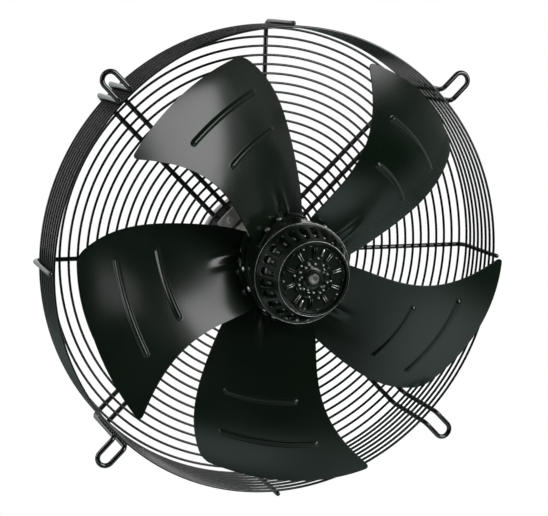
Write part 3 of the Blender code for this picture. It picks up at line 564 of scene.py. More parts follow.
FACE_RINGS = [(FACE_OUTER - FACE_PITCH * k, FACE_Z) for k in range(21)]
SIDE_RINGS = [(wall_radius(z), z) for z in np.linspace(CORNER_Z, MOUTH_Z, 8)]
print(len(FACE_RINGS) + len(SIDE_RINGS), "rings, the smallest", round(FACE_RINGS[-1][0] * 2), "mm across")

# %% [markdown]
# ## Rings
# A ring could be Blender's own torus. The wire function makes the same shape and serves the bent wires
# as well. The face's outermost ring sits on the corner, so it goes with the wall.

# %% Face rings and wall rings
def guard_ring(radius, z):
    return tube(polar(radius, full_turn(168), z), RING_WIRE / 2, 10, closed=True)


piece("guard_face_rings", merged(*[guard_ring(r, z) for r, z in FACE_RINGS[1:]]), BLACK_WIRE, "frame",
      ["guard_face"])
piece("guard_wall_rings", merged(*[guard_ring(r, z) for r, z in [FACE_RINGS[0]] + SIDE_RINGS]), BLACK_WIRE,
      "frame", ["guard_side_wall"])

# %% [markdown]
# ## Spokes and welds
# A spoke lies behind the rings and outside the wall, so its path is an L with a bend of 12 mm radius.
# The weld beads are small flattened drops between the two wires. A real bead is a ragged fillet, and a
# Boolean union of all the wires could blend them, but drops read the same at this distance.

# %% Spokes with their welds
SPOKE_BEND, SPOKE_END = 12, -16.8
FACE_DROP, WALL_DROP = (1.6, 2.3, 1.0), (1.0, 2.3, 1.6)
QUARTERS = [math.pi / 2 * k for k in range(4)]


def along(path, turn, aside=0.0):
    """Lay a path of (radius, height) points on the half plane at an angle, moved sideways."""
    return swung([(radius, aside, height) for radius, height in path], turn)


def stretched(path, spacing=12):
    """More points along a path, so that no step is longer than the spacing."""
    points = [path[0]]
    for a, b in zip(path, path[1:]):
        count = max(1, math.ceil(np.linalg.norm(b - a) / spacing))
        points += [a + (b - a) * step / count for step in range(1, count + 1)]
    return np.array(points)


def weld_bead(radius, z, turn, aside, size):
    """A small drop squeezed out between two wires that cross."""
    lift = np.radians([-90, -50, -15, 20, 55, 90])[:, None]
    ball = polar(np.cos(lift), full_turn(8), np.sin(lift)).reshape(-1, 3) * size
    return swung(ball + (radius, aside, z), turn), grid_faces(6, 8, False, True)


def welds(turn, aside, back_gap):
    """The beads along one wire: behind each face ring and outside each wall ring."""
    behind, outside = (RING_WIRE + SINK) / 2, RING_WIRE / 2 + back_gap
    return ([weld_bead(r, z - behind, turn, aside, FACE_DROP) for r, z in FACE_RINGS[1:]]
            + [weld_bead(r + outside, z, turn, aside, WALL_DROP) for r, z in SIDE_RINGS])


spoke_stand = (RING_WIRE + SPOKE_WIRE) / 2 - SINK
spoke_back = FACE_Z - spoke_stand
spoke_path = softened([(WIRE_START, spoke_back), (wall_radius(spoke_back) + spoke_stand, spoke_back),
                       (wall_radius(SPOKE_END) + spoke_stand, SPOKE_END)], SPOKE_BEND, 10, closed=False)
spokes = [tube(along(stretched(spoke_path), turn), SPOKE_WIRE / 2, 16) for turn in QUARTERS]
piece("guard_spokes", merged(*spokes), BLACK_WIRE, "frame")
piece("guard_spoke_welds", merged(*[bead for turn in QUARTERS for bead in welds(turn, 0, 0.0)]), BLACK_WIRE,
      "frame", weld=True)

# %% [markdown]
# ## The four brackets
# Each bracket is one wire, about 7 mm thick. Its two legs run from the motor's flange out behind the
# rings, bend up over the wall and turn outward at the mouth, where they meet in an open eye for the
# fixing screw. Because it is one wire, it is made as one path from leg to leg.

# %% Brackets
CORNERS = {"top_right": 0.5, "top_left": 1.5, "bottom_left": 2.5, "bottom_right": 3.5}
LEG_HALF, EYE_CENTRE = 11.0, 359.0
BRACKET_BACK, BRACKET_STAND = FACE_Z - 5.6, 5.4
EYE_Z = -EYE_SETBACK - BRACKET_WIRE / 2 - 0.02


def bracket_path(turn):
    """The middle of the bracket's wire: leg, bends, eye, and back along the other leg."""
    low, high = [(wall_radius(z) + BRACKET_STAND, z) for z in (BRACKET_BACK, EYE_Z)]
    leg = stretched(softened([(WIRE_START, BRACKET_BACK), low, high, (EYE_CENTRE, EYE_Z)],
                             [0, 9, 7, 0], 8, closed=False))
    arc = np.radians(np.arange(80, -81, -10.0))
    eye = polar(LEG_HALF, arc, EYE_Z) + (EYE_CENTRE, 0, 0)
    return np.vstack([along(leg, turn, LEG_HALF), swung(eye, turn), along(leg, turn, -LEG_HALF)[::-1]])


for corner, quarter in CORNERS.items():
    wire = tube(bracket_path(math.pi / 2 * quarter), BRACKET_WIRE / 2, 18)
    piece("bracket_wire_" + corner, wire, BLACK_WIRE, "frame", ["mount_bracket_" + corner])
bracket_beads = [bead for quarter in CORNERS.values() for side in (-LEG_HALF, LEG_HALF)
                 for bead in welds(math.pi / 2 * quarter, side, 0.4)]
piece("bracket_welds", merged(*bracket_beads), BLACK_WIRE, "frame", weld=True)

# %% [markdown]
# ## The blades
# A blade is one pressed sheet, 2 mm thick. Its front and rear edges follow smooth curves from root to
# tip, and between them the sheet is straight with a slight camber. A subdivided plane could be bent by
# hand, but a formula for its middle surface keeps both edges exactly on their curves. A point of the
# sheet is named by its share of the span, root to tip, and of the chord, front to rear.

# %% The middle surface of a blade
FOOT_R, TIP_R = 70.1, 294.0
PLAIN_FOOT_R = 70.72
SHEET = 2.0
FRONT_DEG, REAR_DEG = (148.9, 136.7, 138.9, 147.0), (68.2, 84.2, 92.6, 103.9)
FRONT_Z, REAR_Z = (24.8, 45.57, 57.97, 62.0), (-30.06, -32.5, -30.88, -25.03)
CAMBER = 14.0
ROOT_BEND = 4.0
TIP_CORNER = 9.0
SPAN = TIP_R - PLAIN_FOOT_R


def between(a, b, share):
    """The value a share of the way from a to b."""
    return a + (b - a) * share


def cubic(values, share):
    """The cubic through four even stations."""
    total = 0.0
    for i, value in enumerate(values):
        weight = 1.0
        for j in range(4):
            if j != i:
                weight = weight * (share * 3 - j) / (i - j)
        total = total + weight * value
    return total


def sheet_point(span, chord):
    angle = between(np.radians(cubic(FRONT_DEG, span)), np.radians(cubic(REAR_DEG, span)), chord)
    bulge = CAMBER * 4 * chord * (1 - chord) * np.sqrt(span)
    height = between(cubic(FRONT_Z, span), cubic(REAR_Z, span), chord) + bulge
    return polar(between(PLAIN_FOOT_R, TIP_R, span), angle, height)


tip_chord = np.linalg.norm(sheet_point(1.0, 0.0) - sheet_point(1.0, 1.0))
print("blade tip is", round(float(tip_chord)), "mm wide")

# %% [markdown]
# ## The blade's grid
# The beads and the rounded edges need fine faces, and the plain sheet doesn't. A Subdivision modifier
# would refine all of it, so the grid lines are set closer together only in the bands that need it.

# %% Where the grid lines of a blade run
def dense(low, high, coarse, bands):
    """Values from low to high in coarse steps, and in finer steps inside the given bands."""
    values, value = [low], low
    while value < high - 1e-9:
        inside = [fine for a, b, fine in bands if a <= value < b]
        value = min(high, value + (inside[0] if inside else coarse))
        values.append(value)
    return np.array(values)


span_rows = dense((FOOT_R + ROOT_BEND - PLAIN_FOOT_R) / SPAN, 1.0, 0.017,
                  [(0.0, 0.2, 0.011), (0.44, 0.57, 0.003), (0.71, 0.83, 0.003), (0.95, 1.0, 0.01)])
chord_lines = dense(0.0, 1.0, 0.0125, [(0.0, 0.004, 0.001), (0.004, 0.02, 0.004), (0.12, 0.3, 0.0065),
                                       (0.7, 0.9, 0.0065), (0.98, 0.996, 0.004), (0.996, 1.0, 0.001)])
print("blade grid", len(span_rows), "by", len(chord_lines))

# %% [markdown]
# ## Pressing the beads
# Two beads stiffen the blade: each is a ridge along a short, slightly bent line. Its flanks are
# straight, as the press leaves them, with a soft foot and crown: a straight flank shows one broad
# bright line, which a round one would not. Beside the root a crease spreads, a shallow valley next to a
# low ridge, and both die out a quarter of the way up. A bump map would catch the light but leave the
# outline flat, so the points themselves are moved.

# %% Bead and crease heights
# Each bead: (radius, degrees) of its two ends, how far its middle bows outward, and its height.
BEADS = (((239.6, 132.0), (245.7, 104.1), -1.6, 3.6), ((179.2, 125.1), (190.1, 99.7), -0.6, 3.3))
BEAD_HALF = 5.0
BEAD_SOFT = 0.4
# Each crease: its place on the chord at the foot, its half width and its height.
CREASES = ((0.70, 0.035, 2.2), (0.61, 0.045, -3.4))
CREASE_LEAN, CREASE_START, CREASE_END = 0.25, 0.02, 0.24


def bead_line(start_at, end_at, bow):
    """Points of the sheet along a bead, evenly spaced in radius and angle."""
    shares = np.linspace(0, 1, 160)
    radius = between(start_at[0], end_at[0], shares) + bow * 4 * shares * (1 - shares)
    span = (radius - PLAIN_FOOT_R) / SPAN
    front, rear = cubic(FRONT_DEG, span), cubic(REAR_DEG, span)
    return sheet_point(span, (between(start_at[1], end_at[1], shares) - front) / (rear - front))


def bead_profile(share):
    """A bead's height, from 0 at its edge to 1 on its middle line: foot, straight flank, crown."""
    room = 2 * BEAD_SOFT * (1 - BEAD_SOFT)
    flank = np.clip((share - BEAD_SOFT / 2) / (1 - BEAD_SOFT), 0, 1)
    return np.where(share < BEAD_SOFT, share ** 2 / room,
                    np.where(share > 1 - BEAD_SOFT, 1 - (1 - share) ** 2 / room, flank))


def pressed_height(surface, span, chord):
    """How far the sheet is pressed towards the front at each point."""
    beads, creases = np.zeros(span.shape), np.zeros(span.shape)
    for start_at, end_at, bow, rise in BEADS:
        near = np.full(span.shape, 1e9)
        for point in bead_line(start_at, end_at, bow):
            near = np.minimum(near, ((surface - point) ** 2).sum(-1))
        beads += rise * bead_profile(np.clip(1 - np.sqrt(near) / BEAD_HALF, 0, 1))
    for place, half_width, rise in CREASES:
        creases += rise * np.exp(-((chord - place + CREASE_LEAN * span) / half_width) ** 2)
    fade = np.clip(1 - span / CREASE_END, 0, 1) ** 1.2 * np.clip(span / CREASE_START, 0, 1)
    return beads + fade * creases


print("bead profile at 0, a quarter, a half and 1:", bead_profile(np.array([0, 0.25, 0.5, 1.0])).round(2))

# %% [markdown]
# ## One blade, five times
# The root edge is turned forward as a foot that lies on the rotor, and the tip's corners are rounded.
# A Solidify modifier could give the sheet its thickness, but then its edge would depend on the
# modifier's rules. Here the middle surface is moved half a thickness each way, and a strip closes it.

# %% Build one blade and turn it to its five places
def normals(surface):
    """The direction out of a grid of points, at each of them."""
    out = np.cross(np.gradient(surface, axis=1), np.gradient(surface, axis=0))
    return out / np.linalg.norm(out, axis=-1)[..., None]


def blade_shape():
    """Both faces of the sheet and its edges, in the place of the first blade."""
    span, chord = np.meshgrid(span_rows, chord_lines, indexing="ij")
    inset = np.minimum(np.minimum(chord, 1 - chord) * tip_chord, TIP_CORNER)
    short = TIP_CORNER - np.sqrt(TIP_CORNER ** 2 - (TIP_CORNER - inset) ** 2)
    limited = span * (1 - short / SPAN)
    surface = sheet_point(limited, chord)
    root = sheet_point(np.zeros_like(chord_lines), chord_lines)
    angle = np.arctan2(root[:, 1], root[:, 0])
    foot = [polar(FOOT_R, angle, root[:, 2] + ROOT_BEND + forward) for forward in (12, 9, 6, 3)]
    foot += [polar(FOOT_R + ROOT_BEND * (1 - math.cos(a)), angle, root[:, 2] + ROOT_BEND * (1 - math.sin(a)))
             for a in np.radians([0, 18, 36, 54, 72])]
    middle = np.concatenate([foot, surface])
    pressed = np.zeros(middle.shape[:2])
    pressed[len(foot):] = pressed_height(surface, limited, chord)
    middle = middle + normals(middle) * pressed[..., None]
    half = normals(middle) * SHEET / 2
    rows, columns = middle.shape[:2]
    total = rows * columns
    faces = grid_faces(rows, columns)
    faces += [tuple(corner + total for corner in face[::-1]) for face in faces]
    index = np.arange(total).reshape(rows, columns)
    edge = np.concatenate([index[0], index[1:, -1], index[-1, -2::-1], index[-2:0:-1, 0]]).tolist()
    faces += [(b, a, a + total, b + total) for a, b in zip(edge, edge[1:] + edge[:1])]
    return np.vstack([(middle + half).reshape(-1, 3), (middle - half).reshape(-1, 3)]), faces


blade_points, blade_faces = blade_shape()
for number in range(1, 6):
    shape = (swung(blade_points, math.radians(72 * (1 - number))), blade_faces)
    piece("pressed_blade_%d" % number, shape, BLACK_SHEET, "rotor", ["blade_%d" % number],
          sharp=40)

# %% [markdown]
# ## Rivets
# Two steel rivets hold each foot. Their low domes catch the light as bright dots beside the rotor, so
# each is turned round its own short axis, which points straight out from the fan's. The plain model
# knows where each one sits, so its place is read from there.

# %% Rivet heads
RIVET_OUTLINE = [(0, 73.1), (1.6, 73.0), (3.0, 72.5), (3.8, 71.9), (4.0, 71.3), (2.2, 71.25), (2.2, 65.4),
                 (0, 65.4)]


def radial(shape, angle, height):
    """Lay a shape that was made along the axis outward along a radius, at a height."""
    points, faces = shape
    return swung(points[:, [2, 0, 1]] + (0, 0, height), angle), faces


for name in ["%d%s" % (number, side) for number in range(1, 6) for side in "ab"]:
    node = "blade_rivet_" + name
    lo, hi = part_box(node)
    shape = radial(turned(RIVET_OUTLINE, 20), math.atan2(lo.z + hi.z, lo.x + hi.x), sum(heights(node)) / 2)
    piece("rivet_head_" + name, shape, RIVET_STEEL, "rotor", [node], sharp=50, weld=True)

# %% [markdown]
# ## The rotor can
# The can is a round shell with a cone at its nose, where the cups will be sunk. It could be cut from a
# cylinder, but an outline turned round the axis says every step of it in one list. The cone's part of
# the outline is divided finely enough for the cups.

# %% Outline of the can, from the rear edge round to the inside
CAN_LOW, CAN_HIGH = np.array([67.0, 46.6]), np.array([50.6, 82.6])
cone_rows = np.linspace(0, 1, 54)[:, None]
cone = between(CAN_LOW, CAN_HIGH, cone_rows)
before = softened([(64.9, -35.9), (68.7, -35.9), (68.7, 43.2), (69.0, 43.6), (69.0, 45.6), (67.9, 46.4)],
                  [0.5, 1.0, 0.3, 0.3, 0.9, 0.3], 4, closed=False)
after = softened([(50.6, 83.0), (50.6, 85.3), (47.4, 85.3), (47.4, 75.3), (44.4, 75.0), (44.4, 71.8),
                  (64.9, 42.2), (64.9, -35.9)], [0, 0.7, 0.7, 0.3, 0.3, 0.3, 0.5, 0], 4, closed=False)
can_outline = np.vstack([before, cone, after])
print("can outline has", len(can_outline), "points and the cone", len(cone), "of them")

# %% [markdown]
# ## Cups in the cone
# Twenty-four cups are sunk in the cone, each a long pocket with round corners and a thin wall to the
# next. Twenty-four Boolean cuts would leave sharp rims and uneven faces. Pushing the points of a fine
# grid inward where they lie inside a cup's outline makes the wall and its soft edge from one rule.

# %% Sink the cups and make the can
CUPS = 24
CUP_DEPTH, CUP_CORNER, CUP_EDGE = 6.4, 3.6, 1.3
CUP_HALF_LENGTH, CUP_HALF_WIDTH, CUP_TAPER = 13.0, 5.7, 1.5
cone_run = CAN_HIGH - CAN_LOW
cone_length = float(np.linalg.norm(cone_run))


def cup_depth(along_cone, angle):
    """How deep the cone is pushed in, from the distance to the nearest cup's rounded outline."""
    pitch = 2 * math.pi / CUPS
    across = (np.mod(angle, pitch) - pitch / 2) * between(CAN_LOW[0], CAN_HIGH[0], along_cone)
    lengthways = (along_cone - 0.5) * cone_length
    x = np.abs(across) - (CUP_HALF_WIDTH - CUP_TAPER * along_cone - CUP_CORNER)
    y = np.abs(lengthways) - (CUP_HALF_LENGTH - CUP_CORNER)
    outside = np.hypot(np.maximum(x, 0), np.maximum(y, 0)) + np.minimum(np.maximum(x, y), 0) - CUP_CORNER
    return CUP_DEPTH * (1 - np.clip((outside + CUP_EDGE) / CUP_EDGE, 0, 1)) ** 0.8


steps = CUPS * 22
turn = full_turn(steps)
can = polar(can_outline[:, :1], turn, can_outline[:, 1:])
share, angle = np.meshgrid(cone_rows[:, 0], turn, indexing="ij")
inward = cup_depth(share, angle)
out_r, out_z = cone_run[1] / cone_length, -cone_run[0] / cone_length
can[len(before):len(before) + len(cone)] -= polar(inward * out_r, turn, inward * out_z)
piece("rotor_can_shell", (can.reshape(-1, 3), grid_faces(len(can_outline), steps, False, True)), BLACK_ROTOR,
      "rotor", ["rotor_can"], sharp=42)

# %% [markdown]
# ## Rims with painted highlights
# The can's two rims stand proud, and each shows as a thin pale line: partly the painted highlight of the
# rim's rounded edge, partly metal rubbed bare by handling. A mask in the material could paint it, but the
# mask's edge would depend on where the rims are. A very thin ring of pale rubbed metal, half sunk in each
# rim, always follows it.

# %% Thin rings on the can's rims: painted highlight and wear
RIM_WIRE = 0.36
# Pale metal rings that paint each rim's highlight and its wear.
rims = [tube(polar(radius, full_turn(180), z), RIM_WIRE, 8, closed=True)
        for radius, z in ((68.9, 45.5), (50.25, 85.05))]
piece("rim_highlight_and_wear_rings", merged(*rims), RIM_HIGHLIGHT_AND_WEAR, "rotor")

# %% [markdown]
# ## Pins in the cups
# The cage inside the rotor is cast aluminium, and one pin of it stands in each cup. In the photograph
# every cup has such a bright dot. A pin is a small turned shape, and its domed top keeps the dot
# bright from any side.

# %% Cage pins
PIN_CIRCLE, PIN_RADIUS = 54.6, 1.4


def domed_pin(radius, low, high, centre, steps=16):
    """A round pin with a domed top."""
    dome = [(radius * math.cos(a), high - radius * 0.7 * (1 - math.sin(a)))
            for a in np.radians([0, 25, 50, 72, 90])]
    return turned([(0, low), (radius, low)] + dome, steps, centre)


pins = [domed_pin(PIN_RADIUS, 50.0, 66.0, swung((PIN_CIRCLE, 0), turn_to), 14)
        for turn_to in full_turn(CUPS) + math.pi / CUPS]
piece("cage_pins", merged(*pins), PIN_METAL_AND_RIB_HIGHLIGHT, "rotor", weld=True, sharp=50)

# %% [markdown]
# ## The rotor's front face
# Inside the can's rim lies a cast disc with a boss on the shaft. It is round but for its relief, so it
# is turned first, and the relief is set on it afterwards.

# %% Disc and boss
DISC_Z = 79.3
disc = turned(softened([(7.9, 70), (7.9, 84.0), (10.4, 84.0), (11.0, 82.6), (11.6, 80.6), (14.5, 79.3),
                        (44.6, 79.3), (45.6, 80.6), (46.9, 80.6), (46.9, 75.6), (14, 75.2), (13, 70)],
                       [0.3, 0.5, 0.3, 0.3, 0.6, 0.6, 0.5, 0.4, 0.3, 0.3, 0.3, 0.3], 3), 120)
piece("front_disc", disc, BLACK_ROTOR, "rotor", ["rotor_front_cap"], sharp=45)

# %% [markdown]
# ## Relief of the front face
# Ten pairs of thin ribs point outward, short bars cross between them, and domed pins stand about, some
# way off an even circle, as such castings have them. Most ribs carry a second, narrower bar of pale bare
# metal on top, and three pairs stay black: the pale bar is partly film rubbed off and partly a painted
# highlight of the rib's edge. Two thicker pale bars stand between the pairs, painted highlight and wear
# alike. A texture could draw all this, but it would look flat from the side.

# %% Ribs, bars and pins on the disc, with painted highlights on the rib tops
SUNK = 0.5
PAIRS, BLACK_PAIRS = 10, (2, 4, 7)


def bar(radius, degrees, length, width, height, slant=0.0):
    """A small straight rib on the disc with bevelled top edges: points, faces."""
    bevel = min(0.35, width * 0.3)
    rings = []
    for cut, z in ((0, -SUNK), (0, height - bevel), (bevel, height)):
        x, y = length / 2 - cut, width / 2 - cut
        rings.append([(-x, -y, DISC_Z + z), (x, -y, DISC_Z + z), (x, y, DISC_Z + z), (-x, y, DISC_Z + z)])
    points, faces = stacked(rings)
    return swung(points, math.radians(degrees + slant)) + polar(radius, math.radians(degrees), 0), faces


relief, tops, studs = [], [], []
for pair in range(PAIRS):
    degrees = 15 + 360 / PAIRS * pair
    for side in (-1, 1):
        rib_at = degrees + math.degrees(1.5 * side / 35)
        relief.append(bar(34.5, rib_at, 15.0, 1.3, 2.8))
        if pair not in BLACK_PAIRS:
            # A pale bar on the rib's top: partly rubbed film, partly painted highlight.
            tops.append(bar(34.5, rib_at, 12.0 - 2 * (pair % 3), 0.8, 3.2))
    relief += [bar(26.4, degrees + 18, 8.0, 1.1, 3.0, 90), bar(43.2, degrees + 12, 8.5, 1.1, 2.4, 90)]
    studs += [(25.0 + 3.2 * math.sin(pair * 2.1), degrees + 18 + 9 * math.sin(pair * 1.3), 1.3, 4.4),
              (20.2 + 1.8 * math.sin(pair * 1.7), degrees + 6 * math.sin(pair * 2.9), 1.5, 4.6)]
    if pair % 2 == 0:
        studs += [(16.6, degrees + 14, 1.3, 4.2), (42.0, degrees + 24, 1.2, 3.0)]
        # A short pale cross bar: painted highlight and wear.
        tops.append(bar(19.4, degrees + 22, 3.4, 1.2, 3.4, 90))
# Two thick pale bars between the pairs: painted highlights and wear.
tops += [bar(36.5, degrees, 10.0, 2.0, 3.9) for degrees in (70, 244)]
stud_shapes = [domed_pin(size, DISC_Z - SUNK, DISC_Z + tall, swung((radius, 0), math.radians(degrees)))
               for radius, degrees, size, tall in studs]
piece("front_ribs", merged(*relief), BLACK_ROTOR, "rotor")
piece("front_rib_tops_wear_and_highlight", merged(*tops), PIN_METAL_AND_RIB_HIGHLIGHT, "rotor")
piece("front_studs", merged(*stud_shapes), PIN_METAL_AND_RIB_HIGHLIGHT, "rotor", weld=True, sharp=50)

# %% [markdown]
# ## The shaft's end
# The shaft shows as a pale disc with a darker middle: a centre hole from the lathe, and a small bevel
# round the edge. Both are corners of the outline that is turned.

# %% Shaft with its centre hole
shaft = turned(softened([(0, 83.9), (1.1, 84.6), (2.6, 86.3), (6.3, 86.45), (7.45, 85.3), (7.45, -67.5),
                         (0, -67.5)], [0, 0.3, 0.2, 0.2, 0.2, 0.5, 0], 3), 64)
piece("turned_shaft", shaft, BRIGHT_STEEL, "rotor", ["motor_shaft"], sharp=40, weld=True)

# %% [markdown]
# ## The motor's flange
# Behind the blades a cast flange carries the wires. Slots run through it in four groups, and a Boolean
# cuts them cleanly through the turned body, which a grid of points can't do. The cutters have round
# ends, as a cast slot has, and four round ones leave room for the clamps' screws.

# %% Turn the housing and cut its slots
FLANGE_R, FLANGE_THICK = 88, 12
SLOT_CIRCLE, SLOT_LENGTH, SLOT_WIDTH, SLOT_STEP = 74.5, 17, 7, 13
CLAMP_CIRCLE = 69.9
flange_back, neck_front = heights("stator_housing")
flange_front = flange_back + FLANGE_THICK
cut_low, cut_high = flange_back - 3, flange_front + 3


def level(outline, z):
    """A flat outline as points at a height."""
    return np.column_stack([outline, np.full(len(outline), z)])


def slot_outline(degrees):
    """A slot with round ends, lengthways along a radius."""
    half, end = SLOT_WIDTH / 2, (SLOT_LENGTH - SLOT_WIDTH) / 2
    right = [(end + half * math.cos(a), half * math.sin(a)) for a in np.radians(np.arange(-90, 91, 18.0))]
    points = np.array(right + [(-x, -y) for x, y in right])
    return swung(points + (SLOT_CIRCLE, 0), math.radians(degrees))


housing = turned(softened([(47.2, neck_front), (55, neck_front), (55.2, flange_front + 3.8),
                           (59, flange_front), (FLANGE_R, flange_front), (FLANGE_R, flange_back),
                           (50, flange_back), (50, neck_front - 2.5), (47.2, neck_front - 2.5)],
                          [0.5, 1.5, 3, 2, 1.5, 1.5, 0.6, 0.5, 0.5], 4), 144)
flange = piece("flange_casting", housing, CAST_HOUSING, "frame", ["stator_housing"], sharp=42)
cutters = []
for slot_at in [90 * quarter + SLOT_STEP * step for quarter in range(4) for step in range(-2, 3)]:
    cutters.append(stacked([level(slot_outline(slot_at), z) for z in (cut_low, cut_high)]))
for quarter in CORNERS.values():
    cutters.append(turned([(0, cut_low), (3.5, cut_low), (3.5, cut_high), (0, cut_high)], 20,
                          swung((CLAMP_CIRCLE, 0), math.pi / 2 * quarter)))
cutter = into_scene("slot_cutters", mesh_of("slot_cutters", merged(*cutters), weld=True))
cut = flange.modifiers.new("slots", "BOOLEAN")
cut.object = cutter
cut.solver = "EXACT"
carved = bpy.data.meshes.new_from_object(flange.evaluated_get(bpy.context.evaluated_depsgraph_get()))
flange.modifiers.clear()
flange.data = carved
carved.set_sharp_from_angle(angle=math.radians(42))
bpy.data.objects.remove(cutter, do_unlink=True)
print("flange after cutting:", len(carved.vertices), "points")

# %% [markdown]
# ## Clamps
# Four plates with rounded corners press the guard's inmost rings on to the flange, each with a hexagon
# screw. A plate is four rings of points, the outer two drawn in a little, which makes its bevel. A
# turned shape with only six steps is a hexagon, so the screw's head needs no new function.

# %% Clamp plates and hexagon screws
PLATE_LENGTH, PLATE_WIDTH, PLATE_BEVEL = 34, 21, 0.4


def rounded_plate(low, high, turn):
    """A plate with rounded corners, its width along a radius."""
    x, y = PLATE_WIDTH / 2, PLATE_LENGTH / 2
    outline = softened([(-x, -y), (x, -y), (x, y), (-x, y)], 4, 5)
    smaller = outline * (1 - PLATE_BEVEL / x, 1 - PLATE_BEVEL / y)
    rings = ((smaller, low), (outline, low + PLATE_BEVEL), (outline, high - PLATE_BEVEL), (smaller, high))
    points, faces = stacked([level(ring + (CLAMP_CIRCLE, 0), z) for ring, z in rings])
    return swung(points, turn), faces


def hex_head(size, low, high, centre):
    """A hexagon head with its corners turned down towards the top."""
    outline = [(0, high), (size * 0.44, high), (size * 0.5, high - 0.6), (size * 0.5, low), (0, low)]
    return turned(outline, 6, centre)


for corner, quarter in CORNERS.items():
    turn = math.pi / 2 * quarter
    centre = swung((CLAMP_CIRCLE, 0), turn)
    low, high = heights("clamp_plate_" + corner)
    piece("clamp_bar_" + corner, rounded_plate(low, high, turn), ZINC_PLATE, "frame",
          ["clamp_plate_" + corner], sharp=40)
    thread_end = flange_back + 2
    thread = turned([(0, high), (3, high), (3, thread_end), (0, thread_end)], 18, centre)
    screw = merged(hex_head(11, high + 0.3, high + 4.3, centre), thread)
    piece("hex_screw_" + corner, screw, ZINC_PLATE, "frame", ["clamp_screw_" + corner],
          sharp=40, weld=True)

# %% [markdown]
# ## Cover and gland
# At the back a moulded cover closes the wiring space, held by four screws, and a gland lets the cable
# in. All are turned shapes. The photograph doesn't show this side, so they follow usual ones.

# %% Terminal cover, its screws and the gland
back, front = heights("terminal_cover")
cover = turned(softened([(0, back), (45.5, back), (47.5, back + 2), (50, front - 3.4), (60, front - 3),
                         (60, front), (47.5, front), (45, back + 2.5), (0, back + 2.5)],
                        [0, 2, 3, 2, 1, 0.8, 0.5, 1, 0], 4), 96)
piece("cover_shell", cover, PLASTIC, "frame", ["terminal_cover"], sharp=42, weld=True)
for number in range(1, 5):
    node = "cover_screw_%d" % number
    lo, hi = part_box(node)
    middle = (lo + hi) / 2
    back, front = heights(node)
    head = turned([(0, back + 0.9), (0.9, back + 0.6), (1.3, back), (2.6, back + 0.2), (3.4, back + 1.2),
                   (3.5, back + 2.6), (1.9, back + 2.6), (1.9, front), (0, front)],
                  20, (middle.x / MM, middle.z / MM))
    piece("pan_screw_%d" % number, head, ZINC_PLATE, "frame", [node], sharp=40, weld=True)
GLAND_CENTRE = (0.0, -26.0)
back, front = heights("cable_gland")
hexagon = turned(softened([(7, back + 10), (10.9, back + 10), (10.9, back + 15), (7, back + 15)], 0.5, 2),
                 6, GLAND_CENTRE)
dome = turned(softened([(4, front), (7.9, front), (7.9, back + 14.5), (7.9, back + 12), (8.9, back + 10.2),
                        (8.7, back + 4), (6.4, back), (4, back)],
                       [0.3, 0.5, 0, 0, 0.4, 2.5, 1.2, 0.8], 4), 40, GLAND_CENTRE)
piece("gland_body", merged(hexagon, dome), PLASTIC, "frame", ["cable_gland"], sharp=38)

# %% [markdown]
# ## The floor
# The camera sees a plain white floor. The blades are dark mirrors that look down on it, and the
# photograph's reflections show that it wasn't evenly lit: so mirror rays see soft brighter and darker
# pools on it, placed until each blade had its light and dark parts. Light Path tells the rays apart.
# The floor lies a metre below the fan's middle, so the fan's shadow falls out of the picture.

# %% Floor
FLOOR_Z = -1.0
# Each pool: its place in metres, the radii where it starts and ends to fade, and its brightness.
POOLS = ((0.55, -0.65, 0.1, 0.8, 0.48), (-1.2, -1.1, 0.3, 1.1, 0.38),
         (-0.35, -0.35, 0.1, 0.6, -0.4), (2.0, -1.4, 0.6, 1.5, -0.4))


def ray(paint, kind):
    """1 for rays of a kind, such as Camera, and 0 for the others."""
    return paint.make("ShaderNodeLightPath", output="Is %s Ray" % kind)


floor_mesh = bpy.data.meshes.new("floor")
floor_mesh.from_pydata([(-5, -1.9, FLOOR_Z), (5, -1.9, FLOOR_Z), (5, 8, FLOOR_Z), (-5, 8, FLOOR_Z)], [],
                       [(0, 1, 2, 3)])
floor = into_scene("floor", floor_mesh)
floor_material, paint = start("pale_floor")
glossy = ray(paint, "Glossy")
seen = paint.math("MAXIMUM", paint.math("MAXIMUM", ray(paint, "Camera"), glossy), ray(paint, "Transmission"))
spot = surface_place(paint)
mirrored = 0.46 - spot.part("X").step(1.0, 1.9) * 0.2
for x, y, inner, outer, bright in POOLS:
    away = paint.make("ShaderNodeVectorMath", {"operation": "DISTANCE"},
                      {0: spot, 1: (x, y, FLOOR_Z)}, "Value")
    mirrored = mirrored + (1 - away.step(inner, outer)) * bright
in_mirror = mirrored.tint((0, 0, 0), (0.83, 1.0, 0.95))
emitted = paint.make("ShaderNodeMix", {"data_type": "RGBA"},
                     {"Factor": glossy, 6: (1, 1, 1, 1), 7: in_mirror}, 2)
white = paint.make("ShaderNodeEmission", (), {"Color": emitted, "Strength": 1.0})
pale = paint.make("ShaderNodeBsdfDiffuse", (), {"Color": (0.8, 0.8, 0.8, 1)})
mixed = paint.make("ShaderNodeMixShader", (), {0: seen, 1: pale, 2: white})
paint.make("ShaderNodeOutputMaterial", (), {"Surface": mixed})
floor_mesh.materials.append(floor_material)

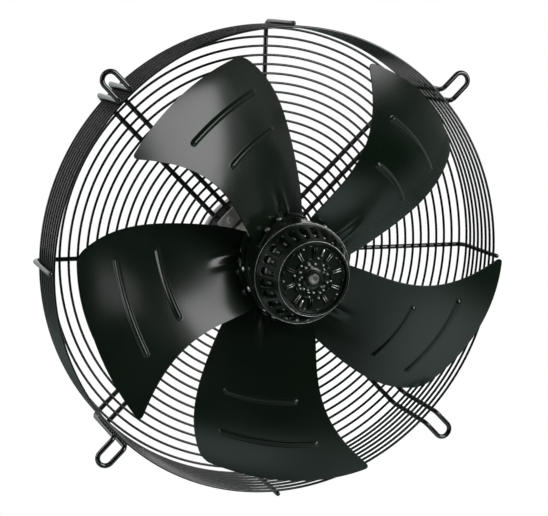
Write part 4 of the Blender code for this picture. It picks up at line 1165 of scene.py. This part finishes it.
# %% [markdown]
# ## The room
# For the camera the background is plain white. For every other ray its brightness depends on the
# direction: a bright backdrop behind the fan, dim walls that are a little lighter on the right, an
# almost dark room behind the camera, and a darker ceiling. An image of a studio could light it too,
# but a few soft steps do.

# %% World
world = bpy.data.worlds.new("studio")
world.use_nodes = True
bpy.context.scene.world = world
world.node_tree.nodes.clear()
sky = Signal(world.node_tree)
direction = sky.make("ShaderNodeTexCoord", output="Generated")
toward_back = direction.part("Y")
side = direction.part("X").step(-0.4, 0.4) * 0.25 + 0.12
backdrop = toward_back.step(0.32, 0.58) * 0.85
ceiling = direction.part("Z").step(0.55, 0.9) * 0.8
room = (toward_back.step(-0.6, 0.1) * side + backdrop + 0.02) * (1 - ceiling)
is_camera = ray(sky, "Camera")
brightness = is_camera + (1 - is_camera) * room
background = sky.make("ShaderNodeBackground", (), {"Color": (1, 1, 1, 1), "Strength": brightness})
sky.make("ShaderNodeOutputWorld", (), {"Surface": background})
print("world has", len(world.node_tree.nodes), "nodes")

# %% [markdown]
# ## Three windows
# The highlights in the photograph tell where its lights stood: a large soft window at the front right,
# a small weak one high on the left, and a tall one far round on the left that draws thin bright lines
# along the wires. A softbox is an area lamp, and its power follows from its size and brightness.

# %% Soft lights
def softbox(name, azimuth, elevation, distance, width, height, radiance):
    """A rectangular lamp at a direction from the fan, with the brightness of its face."""
    a, e = math.radians(azimuth), math.radians(elevation)
    back = Vector((math.sin(a) * math.cos(e), -math.cos(a) * math.cos(e), math.sin(e)))
    light = bpy.data.lights.new(name, "AREA")
    light.shape = "RECTANGLE"
    light.size, light.size_y = width, height
    light.energy = radiance * math.pi * width * height
    lamp = into_scene(name, light)
    lamp.rotation_mode = "QUATERNION"
    lamp.rotation_quaternion = back.to_track_quat("Z", "Y")
    lamp.location = back * distance
    lamp.visible_camera = False
    print(name, "gives", round(light.energy, 1), "W")


softbox("key_window", 39, 21, 3.0, 2.0, 2.05, 5.4)
softbox("left_window", -16, 40, 3.0, 1.0, 0.9, 1.3)
softbox("side_window", -85, 20, 3.0, 0.9, 2.8, 4.2)

# %% [markdown]
